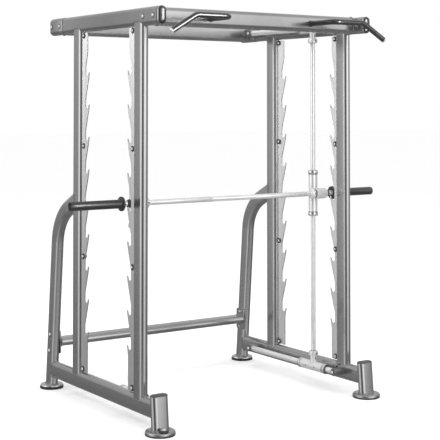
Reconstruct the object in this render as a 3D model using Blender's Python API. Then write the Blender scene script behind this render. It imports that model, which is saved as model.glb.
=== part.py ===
"""Free-path smith machine: two side frames of flat-oval tube, four sawtooth catch strips, and a
lifting bar that slides up and down on two upright chrome rods, which themselves roll front to back
on four horizontal chrome rods.

Metres. +X runs along the lifting bar to the machine's right, +Y to the rear, +Z up. The origin is
on the floor, under the middle of the overall box. The dimensions below measure Y from the midplane
of the front and rear uprights; the frame joint then moves the whole assembly by Y_ORIGIN.
"""

import math
from collections import namedtuple

import bmesh
import bpy
from mathutils import Matrix, Vector

for old in list(bpy.data.objects):
    bpy.data.objects.remove(old, do_unlink=True)

SIDES = (("left", -1), ("right", 1))  # name, sign of X
ENDS = (("front", -1), ("rear", 1))  # name, sign of Y

# ---------------------------------------------------------------- driving dimensions
GAP = 0.0003  # between neighbouring pieces
COPE = 0.0012  # between a coped tube end and the round nose it is shaped to
RUN_GAP = 0.0004  # round a rod that a part slides on
DRUM_GAP = 0.0005  # round the bar inside the drum
SMOOTH_ANGLE = math.radians(32.0)  # edges sharper than this stay sharp
Y_ORIGIN = -0.0339  # the midplane of the uprights, from the middle of the overall box

# facets
END_FACETS = 6  # each round end of a flat-oval tube
N_LARGE, N_MEDIUM, N_SMALL = 20, 12, 8  # round a disc, a rod or sleeve, and a bolt
HANDLE_FACETS = 10

# flat-oval frame tube
TUBE_W = 0.1016  # long side
TUBE_T = 0.0508  # short side
WALL = 0.003
END_R = TUBE_T / 2
END_OFFSET = (TUBE_W - TUBE_T) / 2  # centre to the middle of each round end
PLUG_R = END_R - WALL - GAP * 2  # round ends of a cap's plug

# side frames
X_SIDE = 0.725  # plane of the tubes of one side frame
X_INNER = X_SIDE - END_R  # inboard and outboard faces of those tubes
X_OUTER = X_SIDE + END_R
Y_UPRIGHT = 0.360
Z_BASE = 0.1195  # middle of the base rail
Z_TOP = 2.2345  # middle of the top rail
DISC_T = 0.026  # thickness of the round feet

# leaning front foot post
POST_Y_TOP, POST_Y_BOTTOM, POST_TOP = -0.5505, -0.5655, 0.2005
POST_RISE = POST_TOP - DISC_T
POST_LEAN = (POST_Y_TOP - POST_Y_BOTTOM) / POST_RISE

# curved rear brace
BRACE_LEAN = 0.0825  # rearward travel of the brace for each metre down
BRACE_Y, BRACE_Z = 0.652, 0.836  # a point on its straight leg
BRACE_R = 0.267  # bend radius at the middle of the tube
BRACE_START = math.radians(26.5)  # how steeply it leaves the upright
BRACE_END = math.pi / 2 - math.atan(BRACE_LEAN)  # how steeply the leg runs down
BRACE_ROOT_Y = Y_UPRIGHT + END_OFFSET + END_R + 0.020
BRACE_ROOT_Z = 1.1566
BRACE_STEPS = 6

# top rail
RAIL_FRONT = -0.5580
CAP_FRONT, CAP_REAR = -0.5900, 0.7180
RAIL_REAR = CAP_REAR - 0.020

# cross members
FRONT_BEAM_Y, REAR_BEAM_Y = -0.473, 0.634
BEAM_BOLT = 0.053  # in front of and behind the beam's middle
BEAM_PLATE = (0.067, 0.0415)  # half sizes of the end plate along Y and Z
CROSS_Z = 0.2835
CROSS_BOLT = 0.050  # above and below the crossbar's middle
CROSS_PLATE = (0.0400, 0.0700)
PLATE_T = 0.008
PLATE_CORNER_R = 0.014
PLATE_LAP = 0.003  # the tube ends this far inside the outer face of its end plate

# bolts
BOLT_R = 0.005
HEAD_R, HEAD_H = 0.0095, 0.0065
NUT_R, NUT_H = HEAD_R * 0.92, 0.008
BOLT_SINK = 0.0004  # one end sinks this far into the piece the bolt is joined to
FRAME_HOLE_REACH = 0.04  # a hole's cutter reaches this far each side of a frame tube's middle
TAB_HOLE_REACH = 0.01

# sawtooth catch strips
PITCH = 0.1905
HOOKS = 9
Z_HOOK = 1.944  # tip of the highest hook
Z_LOW_HOOK = Z_HOOK - (HOOKS - 1) * PITCH
Z_MID_HOOK = Z_HOOK - 4 * PITCH
Y_TIP = 0.226
STRIP_T = 0.006
STRIP_BACK = 0.3088
STRIP_BOTTOM, STRIP_TOP = 0.1740, 2.1805
VALLEY_IN, VALLEY_R, VALLEY_Z = 0.027, 0.017, -0.008  # round valley behind each tip
VALLEY_STEPS = 4

# bolting tabs on the uprights
TAB_T = 0.008
TAB_Y = 0.2880  # the bolt
TAB_Z = (0.1935, 0.8550, 1.5080, 2.1630)
TAB_HALF_H = 0.0145
TAB_ROOT = Y_UPRIGHT - END_OFFSET - END_R + 0.0014  # just inside the upright's wall
TAB_TIP = TAB_Y - 0.0145
TAB_SHOULDER = TAB_Y - 0.007  # where the corner chamfers start
TAB_CHAMFER_H = 0.006

# horizontal guide rods, their bosses and trolleys
X_ROD = 0.650
ROD_R = 0.017
Z_ROD_LOW = 0.1210
Z_ROD_HIGH = Z_TOP
LEVELS = (("lower", Z_ROD_LOW, 1), ("upper", Z_ROD_HIGH, -1))  # name, Z, sign towards the other
Y_BOSS = {"front": -0.368, "rear": 0.505}
ROD_PAST_BOSS = 0.004  # the rod ends this far beyond the boss's middle
BOSS_R, BOSS_X = 0.0235, 0.626
TROLLEY_R, TROLLEY_L = 0.029, 0.260
RING_R, RING_L = 0.031, 0.022
HUB_R, HUB_H = 0.019, 0.094
HUB_BAND_R = 0.030

# lifting bar, upright rods and bar carriages
UPRIGHT_ROD_R = 0.0145
BAR_R = 0.015
BAR_OFFSET = 0.053  # the bar runs this far in front of the upright rods
BAR_Y = -(Y_TIP - BAR_R - 0.002)  # just behind the front hook tips
BAR_Z = Z_MID_HOOK + BAR_R + 0.0025  # just above the fifth hook's tip
ROD_Y = BAR_Y + BAR_OFFSET
BAR_CENTRE = (0, BAR_Y, BAR_Z)
BAR_END = 1.066
BAR_CHAMFER = 0.0015
CARRIAGE_R, CARRIAGE_L = 0.0275, 0.286
BAND_R, BAND_L = 0.0310, 0.023  # thicker band at each end of the carriage
DRUM_R, DRUM_X = 0.033, (0.621, 0.708)
COLLAR_R, COLLAR_X = 0.031, (0.592, 0.612)
STOP_X = (0.7085, 0.7275)
SLEEVE_R, SLEEVE_X = 0.025, (0.7555, 1.082)
FLANGE_R, FLANGE_L = 0.041, 0.012
SLEEVE_MOUTH_R, SLEEVE_MOUTH_L = 0.0185, 0.0145  # wider recess in the sleeve's outer end
EDGE = 0.002  # chamfer on carriages, collars and weight sleeves

# pull-up handles
GRIP_R = 0.016
GRIP_WALL = 0.003
GRIP_X, GRIP_BEND_X, GRIP_END_X = 0.357, 0.588, 0.744
GRIP_Y = -0.7076
GRIP_Z, GRIP_END_Z = 2.2325, 2.1405
CORNER_BEND_R, CORNER_STEPS = 0.050, 5
ELBOW_BEND_R, ELBOW_STEPS = 0.060, 2

# ---------------------------------------------------------------- materials
Look = namedtuple("Look", "name colour roughness metallic")

PAINT = Look("silver_grey_paint", colour=(0.235, 0.235, 0.240), roughness=0.34, metallic=0.75)
STRIP = Look("light_silver_strip", colour=(0.560, 0.560, 0.565), roughness=0.40, metallic=0.70)
CHROME = Look("chrome", colour=(0.800, 0.800, 0.810), roughness=0.08, metallic=1.00)
SILVER = Look("light_silver_housing", colour=(0.620, 0.620, 0.625), roughness=0.32, metallic=0.80)
DARK = Look("dark_plastic", colour=(0.060, 0.060, 0.064), roughness=0.50, metallic=0.00)
BLACK = Look("black_gloss", colour=(0.014, 0.014, 0.015), roughness=0.28, metallic=0.10)
GRIP = Look("black_grip", colour=(0.022, 0.022, 0.024), roughness=0.60, metallic=0.00)


def material(look, piece):
    """Each piece has its own copy of the look."""
    made = bpy.data.materials.new(f"{look.name}.{piece}")
    made.use_nodes = True
    inputs = made.node_tree.nodes["Principled BSDF"].inputs
    inputs["Base Color"].default_value = (*look.colour, 1.0)
    inputs["Roughness"].default_value = look.roughness
    inputs["Metallic"].default_value = look.metallic
    return made


# ---------------------------------------------------------------- assembly tree
def attach(obj, at, parent):
    """Parents obj at an assembly position. No joint is rotated, so positions simply subtract."""
    place = Vector(at)
    obj["rest_at"] = tuple(place)
    if parent is not None:
        obj.parent = parent
        place = place - Vector(parent["rest_at"])
    obj.location = place


def joint(name, at, parent=None):
    empty = bpy.data.objects.new(name, None)
    empty.empty_display_size = 0.1
    bpy.context.scene.collection.objects.link(empty)
    attach(empty, at, parent)
    return empty


frame = joint("frame", (0, 0, 0))
frame.location = (0, Y_ORIGIN, 0)
travel, lift, spin = {}, {}, {}
for side, out in SIDES:
    travel[side] = joint(f"{side}_travel", (X_ROD * out, ROD_Y, Z_ROD_LOW), frame)
    lift[side] = joint(f"{side}_lift", (X_ROD * out, ROD_Y, BAR_Z), travel[side])
bar_turn = joint("bar_turn", (X_ROD, BAR_Y, BAR_Z), lift["right"])
for side, out in SIDES:
    spin[side] = joint(f"{side}_sleeve_spin", (SLEEVE_X[0] * out, BAR_Y, BAR_Z), bar_turn)


# ---------------------------------------------------------------- building blocks
def to_object(name, body):
    mesh = bpy.data.meshes.new(name)
    body.to_mesh(mesh)
    body.free()
    obj = bpy.data.objects.new(name, mesh)
    bpy.context.scene.collection.objects.link(obj)
    return obj


def finish(name, body, look, origin, parent=frame):
    """Turns a bmesh in assembly space into a named object whose origin is at `origin`."""
    bmesh.ops.recalc_face_normals(body, faces=body.faces)
    bmesh.ops.translate(body, verts=body.verts, vec=-Vector(origin))
    obj = to_object(name, body)
    for face in obj.data.polygons:
        face.use_smooth = True
    obj.data.set_sharp_from_angle(angle=SMOOTH_ANGLE)
    obj.data.materials.append(material(look, name))
    attach(obj, origin, parent)


def solid(name, base, look, origin, adds=(), cuts=(), parent=frame):
    """base plus adds minus cuts, all closed bmeshes in assembly space, as one named object."""
    body = to_object(name + "_base", base)
    helpers = []
    for operation, tools in (("UNION", adds), ("DIFFERENCE", cuts)):
        for tool in tools:
            helper = to_object(name + "_tool", tool)
            helpers.append(helper)
            boolean = body.modifiers.new("bool", "BOOLEAN")
            boolean.operation = operation
            boolean.solver = "EXACT"
            boolean.object = helper
    bpy.context.view_layer.update()
    graph = bpy.context.evaluated_depsgraph_get()
    mesh = bpy.data.meshes.new_from_object(body.evaluated_get(graph))
    for obj in helpers + [body]:
        bpy.data.objects.remove(obj, do_unlink=True)
    result = bmesh.new()
    result.from_mesh(mesh)
    bpy.data.meshes.remove(mesh)
    # merge the seams and flat facets that the booleans leave
    bmesh.ops.remove_doubles(result, verts=result.verts, dist=1e-6)
    bmesh.ops.dissolve_limit(
        result, angle_limit=math.radians(0.2), verts=result.verts, edges=result.edges
    )
    finish(name, result, look, origin, parent)


def loft(rings, closed=False):
    """Skin through rings of equally many points, with flat caps at the two ends.

    `closed` joins the last ring to the first instead, which makes a tube with a bore.
    """
    body = bmesh.new()
    rows = [[body.verts.new(point) for point in ring] for ring in rings]
    count = len(rows[0])
    pairs = list(zip(rows, rows[1:]))
    if closed:
        pairs.append((rows[-1], rows[0]))
    for row, following in pairs:
        for i in range(count):
            j = (i + 1) % count
            body.faces.new((row[i], row[j], following[j], following[i]))
    if not closed:
        body.faces.new(list(reversed(rows[0])))
        body.faces.new(rows[-1])
    bmesh.ops.recalc_face_normals(body, faces=body.faces)
    return body


def stadium(radius):
    """(along, across) points of a flat oval with round ends of this radius."""
    points = []
    for end, start in ((END_OFFSET, -math.pi / 2), (-END_OFFSET, math.pi / 2)):
        for k in range(END_FACETS + 1):
            angle = start + math.pi * k / END_FACETS
            points.append((end + radius * math.cos(angle), radius * math.sin(angle)))
    return points


def unit_circle(facets):
    angles = [2 * math.pi * (k + 0.5) / facets for k in range(facets)]
    return [(math.cos(angle), math.sin(angle)) for angle in angles]


def oval_tube(start, axis, long_dir, near_end, far_end):
    """A hollow flat-oval tube.

    near_end(along, across) and far_end(along, across) give how far down the axis each end lies
    at that point of the oval.
    """
    start, axis, long_dir = Vector(start), Vector(axis).normalized(), Vector(long_dir).normalized()
    cross = axis.cross(long_dir)

    def ring(radius, end):
        return [
            start + long_dir * along + cross * across + axis * end(along, across)
            for along, across in stadium(radius)
        ]

    bore_r = END_R - WALL
    rings = [
        ring(END_R, near_end), ring(END_R, far_end), ring(bore_r, far_end), ring(bore_r, near_end)
    ]
    return loft(rings, closed=True)


def lathe(profile, centre, axis, facets, bore=False):
    """Turns (along, radius) points about an axis. With bore the profile is a closed loop."""
    axis = Vector(axis).normalized()
    side_dir = axis.orthogonal().normalized()
    up_dir = axis.cross(side_dir)
    centre = Vector(centre)
    rings = [
        [
            centre + axis * along + side_dir * c * radius + up_dir * s * radius
            for c, s in unit_circle(facets)
        ]
        for along, radius in profile
    ]
    return loft(rings, closed=bore)


def rod(start, end, radius, facets=N_MEDIUM):
    run = Vector(end) - Vector(start)
    return lathe([(0, radius), (run.length, radius)], start, run, facets)


def clear_radius(radius, facets):
    """Corner radius of a faceted hole whose flats stay clear of a round of this radius."""
    return radius / math.cos(math.pi / facets)


def hole(start, end, radius, facets=N_MEDIUM):
    return rod(start, end, clear_radius(radius, facets), facets)


def bolt_hole(x, y, z, reach):
    return hole((x - reach, y, z), (x + reach, y, z), BOLT_R + GAP, N_SMALL)


def plate(outline, low_x, thickness, y=0, z=0):
    """A flat plate across X: a (Y, Z) outline measured from (y, z), starting at low_x."""
    rings = [
        [Vector((low_x + depth, y + py, z + pz)) for py, pz in outline]
        for depth in (0.0, thickness)
    ]
    return loft(rings)


def bolt(centre, axis, grip):
    """A bolt from `centre`, under its tapered head, along `axis` to a nut `grip` metres away."""
    profile = [
        (-HEAD_H, HEAD_R * 0.5), (-HEAD_H * 0.35, HEAD_R), (0, HEAD_R), (0, BOLT_R),
        (grip, BOLT_R), (grip, NUT_R), (grip + NUT_H, NUT_R),
    ]
    return lathe(profile, centre, axis, N_SMALL)


# ---------------------------------------------------------------- lines that tubes are shaped to
def nose(across):
    """How far a round tube end, with its cope gap, stands out at `across` from its middle."""
    radius = END_R + COPE
    return math.sqrt(radius * radius - across * across)


def post_y(z):
    return POST_Y_BOTTOM + POST_LEAN * (z - DISC_T)


def brace_y(z):
    return BRACE_Y + BRACE_LEAN * (BRACE_Z - z)


# ---------------------------------------------------------------- feet and base
def base_rail(side, out):
    """The front end is cut to the leaning post, the rear end coped to the brace's round front."""
    x = X_SIDE * out
    post_half = END_R * math.sqrt(1 + POST_LEAN**2)
    brace_cos = 1 / math.sqrt(1 + BRACE_LEAN**2)

    def front(along, across):
        return post_y(Z_BASE + along) + post_half + GAP

    def rear(along, across):
        return brace_y(Z_BASE + along) - (END_OFFSET + nose(across)) / brace_cos

    tube = oval_tube((x, 0, Z_BASE), (0, 1, 0), (0, 0, 1), front, rear)
    finish(f"{side}_base_rail", tube, PAINT, (x, 0, Z_BASE))


def foot_post(side, out):
    """Short post, wide face to the front, whose foot is further forward than its top."""
    foot = (X_SIDE * out, POST_Y_BOTTOM, DISC_T)
    axis = Vector((0, POST_Y_TOP - POST_Y_BOTTOM, POST_RISE)).normalized()
    cross = axis.cross(Vector((1, 0, 0)))  # the oval's short side, square to the leaning axis

    def level(height):
        """An end cut level at this height above the foot."""
        return lambda along, across: (height - cross.z * across) / axis.z

    tube = oval_tube(foot, axis, (1, 0, 0), level(GAP), level(POST_RISE))
    finish(f"{side}_foot_post", tube, PAINT, foot)


# height above the post's top, radius of the oval's round ends
POST_CAP = (
    (-0.018, PLUG_R - 0.001), (GAP, PLUG_R),
    (GAP, END_R - 0.0005), (0.005, END_R - 0.0005), (0.0105, END_R - 0.0080),
)


def foot_post_cap(side, out):
    """Cap plugged into the post's open top."""
    x = X_SIDE * out
    rings = []
    for height, radius in POST_CAP:
        z = POST_TOP + height
        rings.append([(x + along, post_y(z) + across, z) for along, across in stadium(radius)])
    finish(f"{side}_foot_post_cap", loft(rings), DARK, (x, POST_Y_TOP, POST_TOP))


FEET = (  # end, Y, radius, look
    ("front", POST_Y_BOTTOM, 0.082, PAINT),
    ("rear", brace_y(DISC_T), 0.0725, BLACK),
)
ANCHOR_X, ANCHOR_Y = -0.010, -0.0535  # from the disc's centre
ANCHOR = (  # height above the disc's top, radius
    (-0.004, 0.0240), (0.0025, 0.0255), (0.0100, 0.0255), (0.0125, 0.0230),
    (0.0125, 0.0100), (0.0150, 0.0095), (0.0180, 0.0055),
)


def foot_discs(side, out):
    x = X_SIDE * out
    for end, y, radius, look in FEET:
        profile = [
            (0, radius), (DISC_T - 0.006, radius),
            (DISC_T - 0.0015, radius - 0.004), (DISC_T, radius - 0.009),
        ]
        adds = []
        if end == "front" and side == "left":
            # floor anchor in front of the post: a flat knob with a narrower domed nut
            centre = (x + ANCHOR_X, y + ANCHOR_Y, DISC_T)
            adds.append(lathe(ANCHOR, centre, (0, 0, 1), N_MEDIUM))
        disc = lathe(profile, (x, y, 0), (0, 0, 1), N_LARGE)
        solid(f"{side}_{end}_foot_disc", disc, look, (x, y, 0), adds=adds)


# ---------------------------------------------------------------- uprights and catch strips
def upright(side, out, end, back):
    """Tube coped to the base and top rails, with bolting tabs towards the midplane."""
    x, y = X_SIDE * out, Y_UPRIGHT * back
    tube = oval_tube(
        (x, y, 0), (0, 0, 1), (0, 1, 0),
        lambda along, across: Z_BASE + END_OFFSET + nose(across),
        lambda along, across: Z_TOP - END_OFFSET - nose(across),
    )
    tabs, holes = [], []
    for z in TAB_Z:
        low, high = z - TAB_HALF_H, z + TAB_HALF_H
        outline = [
            (back * TAB_ROOT, low), (back * TAB_SHOULDER, low),
            (back * TAB_TIP, low + TAB_CHAMFER_H), (back * TAB_TIP, high - TAB_CHAMFER_H),
            (back * TAB_SHOULDER, high), (back * TAB_ROOT, high),
        ]
        tabs.append(plate(outline, x - TAB_T / 2, TAB_T))
        holes.append(bolt_hole(x, TAB_Y * back, z, TAB_HOLE_REACH))
    solid(f"{side}_{end}_upright", tube, PAINT, (x, y, Z_BASE), adds=tabs, cuts=holes)


def sawtooth_edge():
    """(distance from the tips towards the strip's back, Z) down the toothed edge."""
    edge = [(0.021, STRIP_TOP), (0.021, Z_HOOK + 0.122)]
    for k in range(HOOKS):
        z = Z_HOOK - k * PITCH
        edge.append((0.044, z + 0.0355))
        for j in range(VALLEY_STEPS + 1):
            angle = math.pi * j / VALLEY_STEPS
            edge.append((
                VALLEY_IN + VALLEY_R * math.cos(angle),
                z + VALLEY_Z - VALLEY_R * math.sin(angle),
            ))
        # the tip and its underside
        edge += [(0.0035, z), (0.0005, z), (0.0, z - 0.0025), (0.0070, z - 0.035)]
    return edge + [(0.013, Z_LOW_HOOK - 0.060), (0.013, STRIP_BOTTOM)]


def catch_strip(side, out, end, back):
    """Sawtooth strip on the outboard side of the tabs, with its bolts."""
    outline = [((Y_TIP + depth) * back, z) for depth, z in sawtooth_edge()]
    outline += [(STRIP_BACK * back, STRIP_BOTTOM), (STRIP_BACK * back, STRIP_TOP)]
    if back < 0:
        outline.reverse()
    near = X_SIDE + TAB_T / 2 + GAP  # the strip's inboard face
    strip = plate(outline, near if out > 0 else -near - STRIP_T, STRIP_T)
    # all heads face the machine's left: outboard on the left side, inboard on the right
    if out < 0:
        head_x = -(near + STRIP_T - BOLT_SINK)
    else:
        head_x = X_SIDE - TAB_T / 2 - GAP
    grip = STRIP_T + TAB_T + 2 * GAP - BOLT_SINK
    bolts = [bolt((head_x, TAB_Y * back, z), (1, 0, 0), grip) for z in TAB_Z]
    origin = (near * out, Y_TIP * back, Z_MID_HOOK)
    solid(f"{side}_{end}_catch_strip", strip, STRIP, origin, adds=bolts)


# ---------------------------------------------------------------- rear brace
def bend_centre(lead):
    """(Y, Z) centre of the bend when it starts `lead` beyond the brace's root point."""
    return (
        BRACE_ROOT_Y + lead * math.cos(BRACE_START) - BRACE_R * math.sin(BRACE_START),
        BRACE_ROOT_Z - lead * math.sin(BRACE_START) - BRACE_R * math.cos(BRACE_START),
    )


def bend_miss(lead):
    """How far the end of the bend lies from the line of the straight leg."""
    y, z = bend_centre(lead)
    y_end = y + BRACE_R * math.sin(BRACE_END)
    z_end = z + BRACE_R * math.cos(BRACE_END)
    return abs(y_end - brace_y(z_end))


# the lead, to 0.1 mm, that brings the bend onto the leg's line
BEND_Y, BEND_Z = bend_centre(min((step * 0.0001 for step in range(2001)), key=bend_miss))


def to_upright(point, across, down):
    """Distance along the tube to the upright's round back."""
    return (Y_UPRIGHT + END_OFFSET + nose(across) - point.y) / down.y


def to_disc(point, across, down):
    """Distance along the tube to the top of the foot disc."""
    return (DISC_T + GAP - point.z) / down.z


def brace_ring(x, angle, radius, slide=None):
    """The oval at one angle of the bend; `slide` moves its points along the tube to a surface."""
    down = Vector((0, math.cos(angle), -math.sin(angle)))
    normal = Vector((0, math.sin(angle), math.cos(angle)))
    centre = Vector((x, BEND_Y + BRACE_R * math.sin(angle), BEND_Z + BRACE_R * math.cos(angle)))
    ring = []
    for along, across in stadium(radius):
        point = centre + normal * along + Vector((across, 0, 0))
        if slide:
            point = point + down * slide(point, across, down)
        ring.append(point)
    return ring


def rear_brace(side, out):
    """Leaves the upright's back, bends down and leans rearward to its foot."""
    x = X_SIDE * out
    turn = BRACE_END - BRACE_START
    angles = [BRACE_START + turn * k / BRACE_STEPS for k in range(BRACE_STEPS + 1)]
    stations = [(angles[0], to_upright)]
    stations += [(angle, None) for angle in angles]
    stations.append((angles[-1], to_disc))
    rings = [brace_ring(x, angle, END_R, slide) for angle, slide in stations]
    rings += [brace_ring(x, angle, END_R - WALL, slide) for angle, slide in reversed(stations)]
    holes = [
        bolt_hole(x, brace_y(z), z, FRAME_HOLE_REACH)
        for z in (CROSS_Z - CROSS_BOLT, CROSS_Z + CROSS_BOLT)
    ]
    origin = (x, brace_y(DISC_T), DISC_T)
    solid(f"{side}_rear_brace", loft(rings, closed=True), PAINT, origin, cuts=holes)


# ---------------------------------------------------------------- top rail
def top_rail(side, out):
    """The rail, bored for the beam bolts, and its two end pieces."""
    x = X_SIDE * out
    tube = oval_tube(
        (x, 0, Z_TOP), (0, 1, 0), (0, 0, 1),
        lambda along, across: RAIL_FRONT,
        lambda along, across: RAIL_REAR,
    )
    holes = [
        bolt_hole(x, y + offset, Z_TOP, FRAME_HOLE_REACH)
        for y in (FRONT_BEAM_Y, REAR_BEAM_Y)
        for offset in (-BEAM_BOLT, BEAM_BOLT)
    ]
    solid(f"{side}_top_rail", tube, PAINT, (x, 0, Z_TOP), cuts=holes)

    for (end, back), face, tip in zip(ENDS, (RAIL_FRONT, RAIL_REAR), (CAP_FRONT, CAP_REAR)):
        sections = (  # Y, radius of the oval's round ends
            (face - 0.0040 * back, PLUG_R - 0.001), (face + GAP * back, PLUG_R),
            (face + GAP * back, END_R), (tip - 0.010 * back, END_R), (tip, END_R - 0.0080),
        )
        rings = [
            [(x + across, y, Z_TOP + along) for along, across in stadium(radius)]
            for y, radius in sections
        ]
        finish(f"{side}_top_rail_{end}_cap", loft(rings), PAINT, (x, face, Z_TOP))


# ---------------------------------------------------------------- guide rods and trolleys
def guide_rod(side, out, level, z):
    """Horizontal rod held in a round boss on each end."""
    x = X_ROD * out
    y_front, y_rear = Y_BOSS["front"] - ROD_PAST_BOSS, Y_BOSS["rear"] + ROD_PAST_BOSS
    body = rod((x, y_front, z), (x, y_rear, z), ROD_R)
    finish(f"{side}_{level}_guide_rod", body, CHROME, (x, 0, z))

    face = X_INNER - GAP
    length = face - BOSS_X
    profile = [
        (0, BOSS_R), (length - 0.003, BOSS_R), (length, BOSS_R - 0.003),
        (length, 0.0105), (length + 0.0075, 0.0055),
    ]
    for end, back in ENDS:
        y = Y_BOSS[end]
        origin = (face * out, y, z)
        boss = lathe(profile, origin, (-out, 0, 0), N_MEDIUM)
        # blind bore, open towards the middle of the machine
        blind_end = (x, y + back * (ROD_PAST_BOSS + GAP), z)
        bore = hole(blind_end, (x, y - back * 0.05, z), ROD_R + GAP)
        solid(f"{side}_{level}_{end}_boss", boss, PAINT, origin, cuts=[bore])


def trolley(side, out, level, z, up):
    """Sleeve on a horizontal rod, with a hub that holds one end of the upright rod."""
    x = X_ROD * out
    centre = (x, ROD_Y, z)
    half = TROLLEY_L / 2
    shell = lathe(
        [
            (-half, RING_R), (-half + RING_L, RING_R), (-half + RING_L, TROLLEY_R),
            (half - RING_L, TROLLEY_R), (half - RING_L, RING_R), (half, RING_R),
        ],
        centre, (0, 1, 0), N_MEDIUM,
    )
    hub = lathe(
        [
            (0.018, HUB_R), (HUB_H - 0.026, HUB_R), (HUB_H - 0.026, HUB_BAND_R),
            (HUB_H - 0.0025, HUB_BAND_R), (HUB_H, HUB_BAND_R - 0.0025),
        ],
        centre, (0, 0, up), N_MEDIUM,
    )
    cuts = [
        hole((x, ROD_Y - 0.2, z), (x, ROD_Y + 0.2, z), ROD_R + RUN_GAP),
        hole((x, ROD_Y, z + up * TROLLEY_R), (x, ROD_Y, z + up * 0.15), UPRIGHT_ROD_R + GAP),
    ]
    solid(
        f"{side}_{level}_trolley", shell, SILVER, centre,
        adds=[hub], cuts=cuts, parent=travel[side],
    )


def upright_rod(side, out):
    x = X_ROD * out
    low, high = Z_ROD_LOW + TROLLEY_R + GAP, Z_ROD_HIGH - TROLLEY_R - GAP
    body = rod((x, ROD_Y, low), (x, ROD_Y, high), UPRIGHT_ROD_R)
    finish(f"{side}_upright_rod", body, CHROME, (x, ROD_Y, Z_ROD_LOW), travel[side])


# ---------------------------------------------------------------- bar and what carries it
def bar_carriage(side, out):
    """Long sleeve on the upright rod, with a drum across its front that carries the bar."""
    x = X_ROD * out
    half = CARRIAGE_L / 2
    sleeve = lathe(
        [
            (-half, BAND_R - EDGE), (-half + EDGE, BAND_R),
            (-half + BAND_L, BAND_R), (-half + BAND_L, CARRIAGE_R),
            (half - BAND_L, CARRIAGE_R), (half - BAND_L, BAND_R),
            (half - EDGE, BAND_R), (half, BAND_R - EDGE),
        ],
        (x, ROD_Y, BAR_Z), (0, 0, 1), N_MEDIUM,
    )
    start, end = DRUM_X
    drum = lathe(
        [
            (start, DRUM_R - 0.004), (start + 0.004, DRUM_R),
            (end - 0.018, DRUM_R), (end, DRUM_R - 0.0060),
        ],
        BAR_CENTRE, (out, 0, 0), N_MEDIUM,
    )
    cuts = [
        hole((x, ROD_Y, BAR_Z - 0.3), (x, ROD_Y, BAR_Z + 0.3), UPRIGHT_ROD_R + RUN_GAP),
        hole((0.55 * out, BAR_Y, BAR_Z), (0.78 * out, BAR_Y, BAR_Z), BAR_R + DRUM_GAP),
    ]
    solid(
        f"{side}_bar_carriage", sleeve, SILVER, (x, ROD_Y, BAR_Z),
        adds=[drum], cuts=cuts, parent=lift[side],
    )


BAR_BORE = clear_radius(BAR_R + GAP, N_MEDIUM)


def bar_piece(name, out, profile, look, parent=bar_turn):
    """A turned piece with a bore, threaded on the bar; its origin is at its inboard end."""
    body = lathe(profile, BAR_CENTRE, (out, 0, 0), N_MEDIUM, bore=True)
    finish(name, body, look, (profile[0][0] * out, BAR_Y, BAR_Z), parent)


def bar_collar(side, out):
    """Inboard of the drum."""
    start, end = COLLAR_X
    profile = [
        (start, BAR_BORE), (start, COLLAR_R - EDGE), (start + EDGE, COLLAR_R),
        (end - EDGE, COLLAR_R), (end, COLLAR_R - EDGE), (end, BAR_BORE),
    ]
    bar_piece(f"{side}_bar_collar", out, profile, CHROME)


def bar_stop(side, out):
    """Tapered stop outboard of the drum."""
    start, end = STOP_X
    profile = [
        (start, BAR_BORE), (start, 0.0245), (start + 0.004, 0.0240),
        (end - 0.004, 0.0180), (end, 0.0172), (end, BAR_BORE),
    ]
    bar_piece(f"{side}_bar_stop", out, profile, DARK)


def weight_sleeve(side, out):
    """Turning sleeve with a flange at its inboard end."""
    start, end = SLEEVE_X
    flange = start + FLANGE_L
    recess = end - SLEEVE_MOUTH_L
    profile = [
        (start, BAR_BORE), (start, FLANGE_R - EDGE), (start + EDGE, FLANGE_R),
        (flange - EDGE, FLANGE_R), (flange, FLANGE_R - EDGE), (flange, SLEEVE_R),
        (end - EDGE, SLEEVE_R), (end, SLEEVE_R - EDGE),
        (end, SLEEVE_MOUTH_R), (recess, SLEEVE_MOUTH_R), (recess, BAR_BORE),
    ]
    bar_piece(f"{side}_weight_sleeve", out, profile, BLACK, spin[side])


def lifting_bar():
    """One straight shaft whose ends are the spigots that the weight sleeves turn on."""
    profile = [
        (-BAR_END, BAR_R - BAR_CHAMFER), (-BAR_END + BAR_CHAMFER, BAR_R),
        (BAR_END - BAR_CHAMFER, BAR_R), (BAR_END, BAR_R - BAR_CHAMFER),
    ]
    shaft = lathe(profile, BAR_CENTRE, (1, 0, 0), N_MEDIUM)
    finish("lifting_bar", shaft, CHROME, BAR_CENTRE, bar_turn)


# ---------------------------------------------------------------- pull-up handles
HANDLE_CAP = (  # distance beyond the handle's tip, radius
    (-0.012, GRIP_R - 0.0040), (GAP, GRIP_R - 0.0036), (GAP, GRIP_R + 0.0006),
    (0.005, GRIP_R + 0.0006), (0.0085, GRIP_R - 0.004), (0.0095, GRIP_R - 0.010),
)


def bend_stations(before, corner, after, radius, steps):
    """(point, direction) pairs round a bend that replaces a sharp corner."""
    arriving, leaving = (corner - before).normalized(), (after - corner).normalized()
    turn = arriving.angle(leaving)
    cut = radius * math.tan(turn / 2)
    axis = arriving.cross(leaving).normalized()
    centre = corner - arriving * cut + axis.cross(arriving) * radius
    arm = (corner - arriving * cut) - centre
    stations = []
    for k in range(steps + 1):
        rotation = Matrix.Rotation(turn * k / steps, 3, axis)
        stations.append((centre + rotation @ arm, rotation @ arriving))
    return stations


def sweep_rings(stations, radius):
    """Circles along the stations, carried from one to the next without twist."""
    up = Vector((0, 0, 1))
    previous = None
    rings = []
    for point, ahead in stations:
        if previous is not None:
            up = previous.rotation_difference(ahead) @ up
        previous = ahead
        sideways = ahead.cross(up).normalized()
        up = sideways.cross(ahead).normalized()
        rings.append([
            point + sideways * c * radius + up * s * radius for c, s in unit_circle(HANDLE_FACETS)
        ])
    return rings


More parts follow.
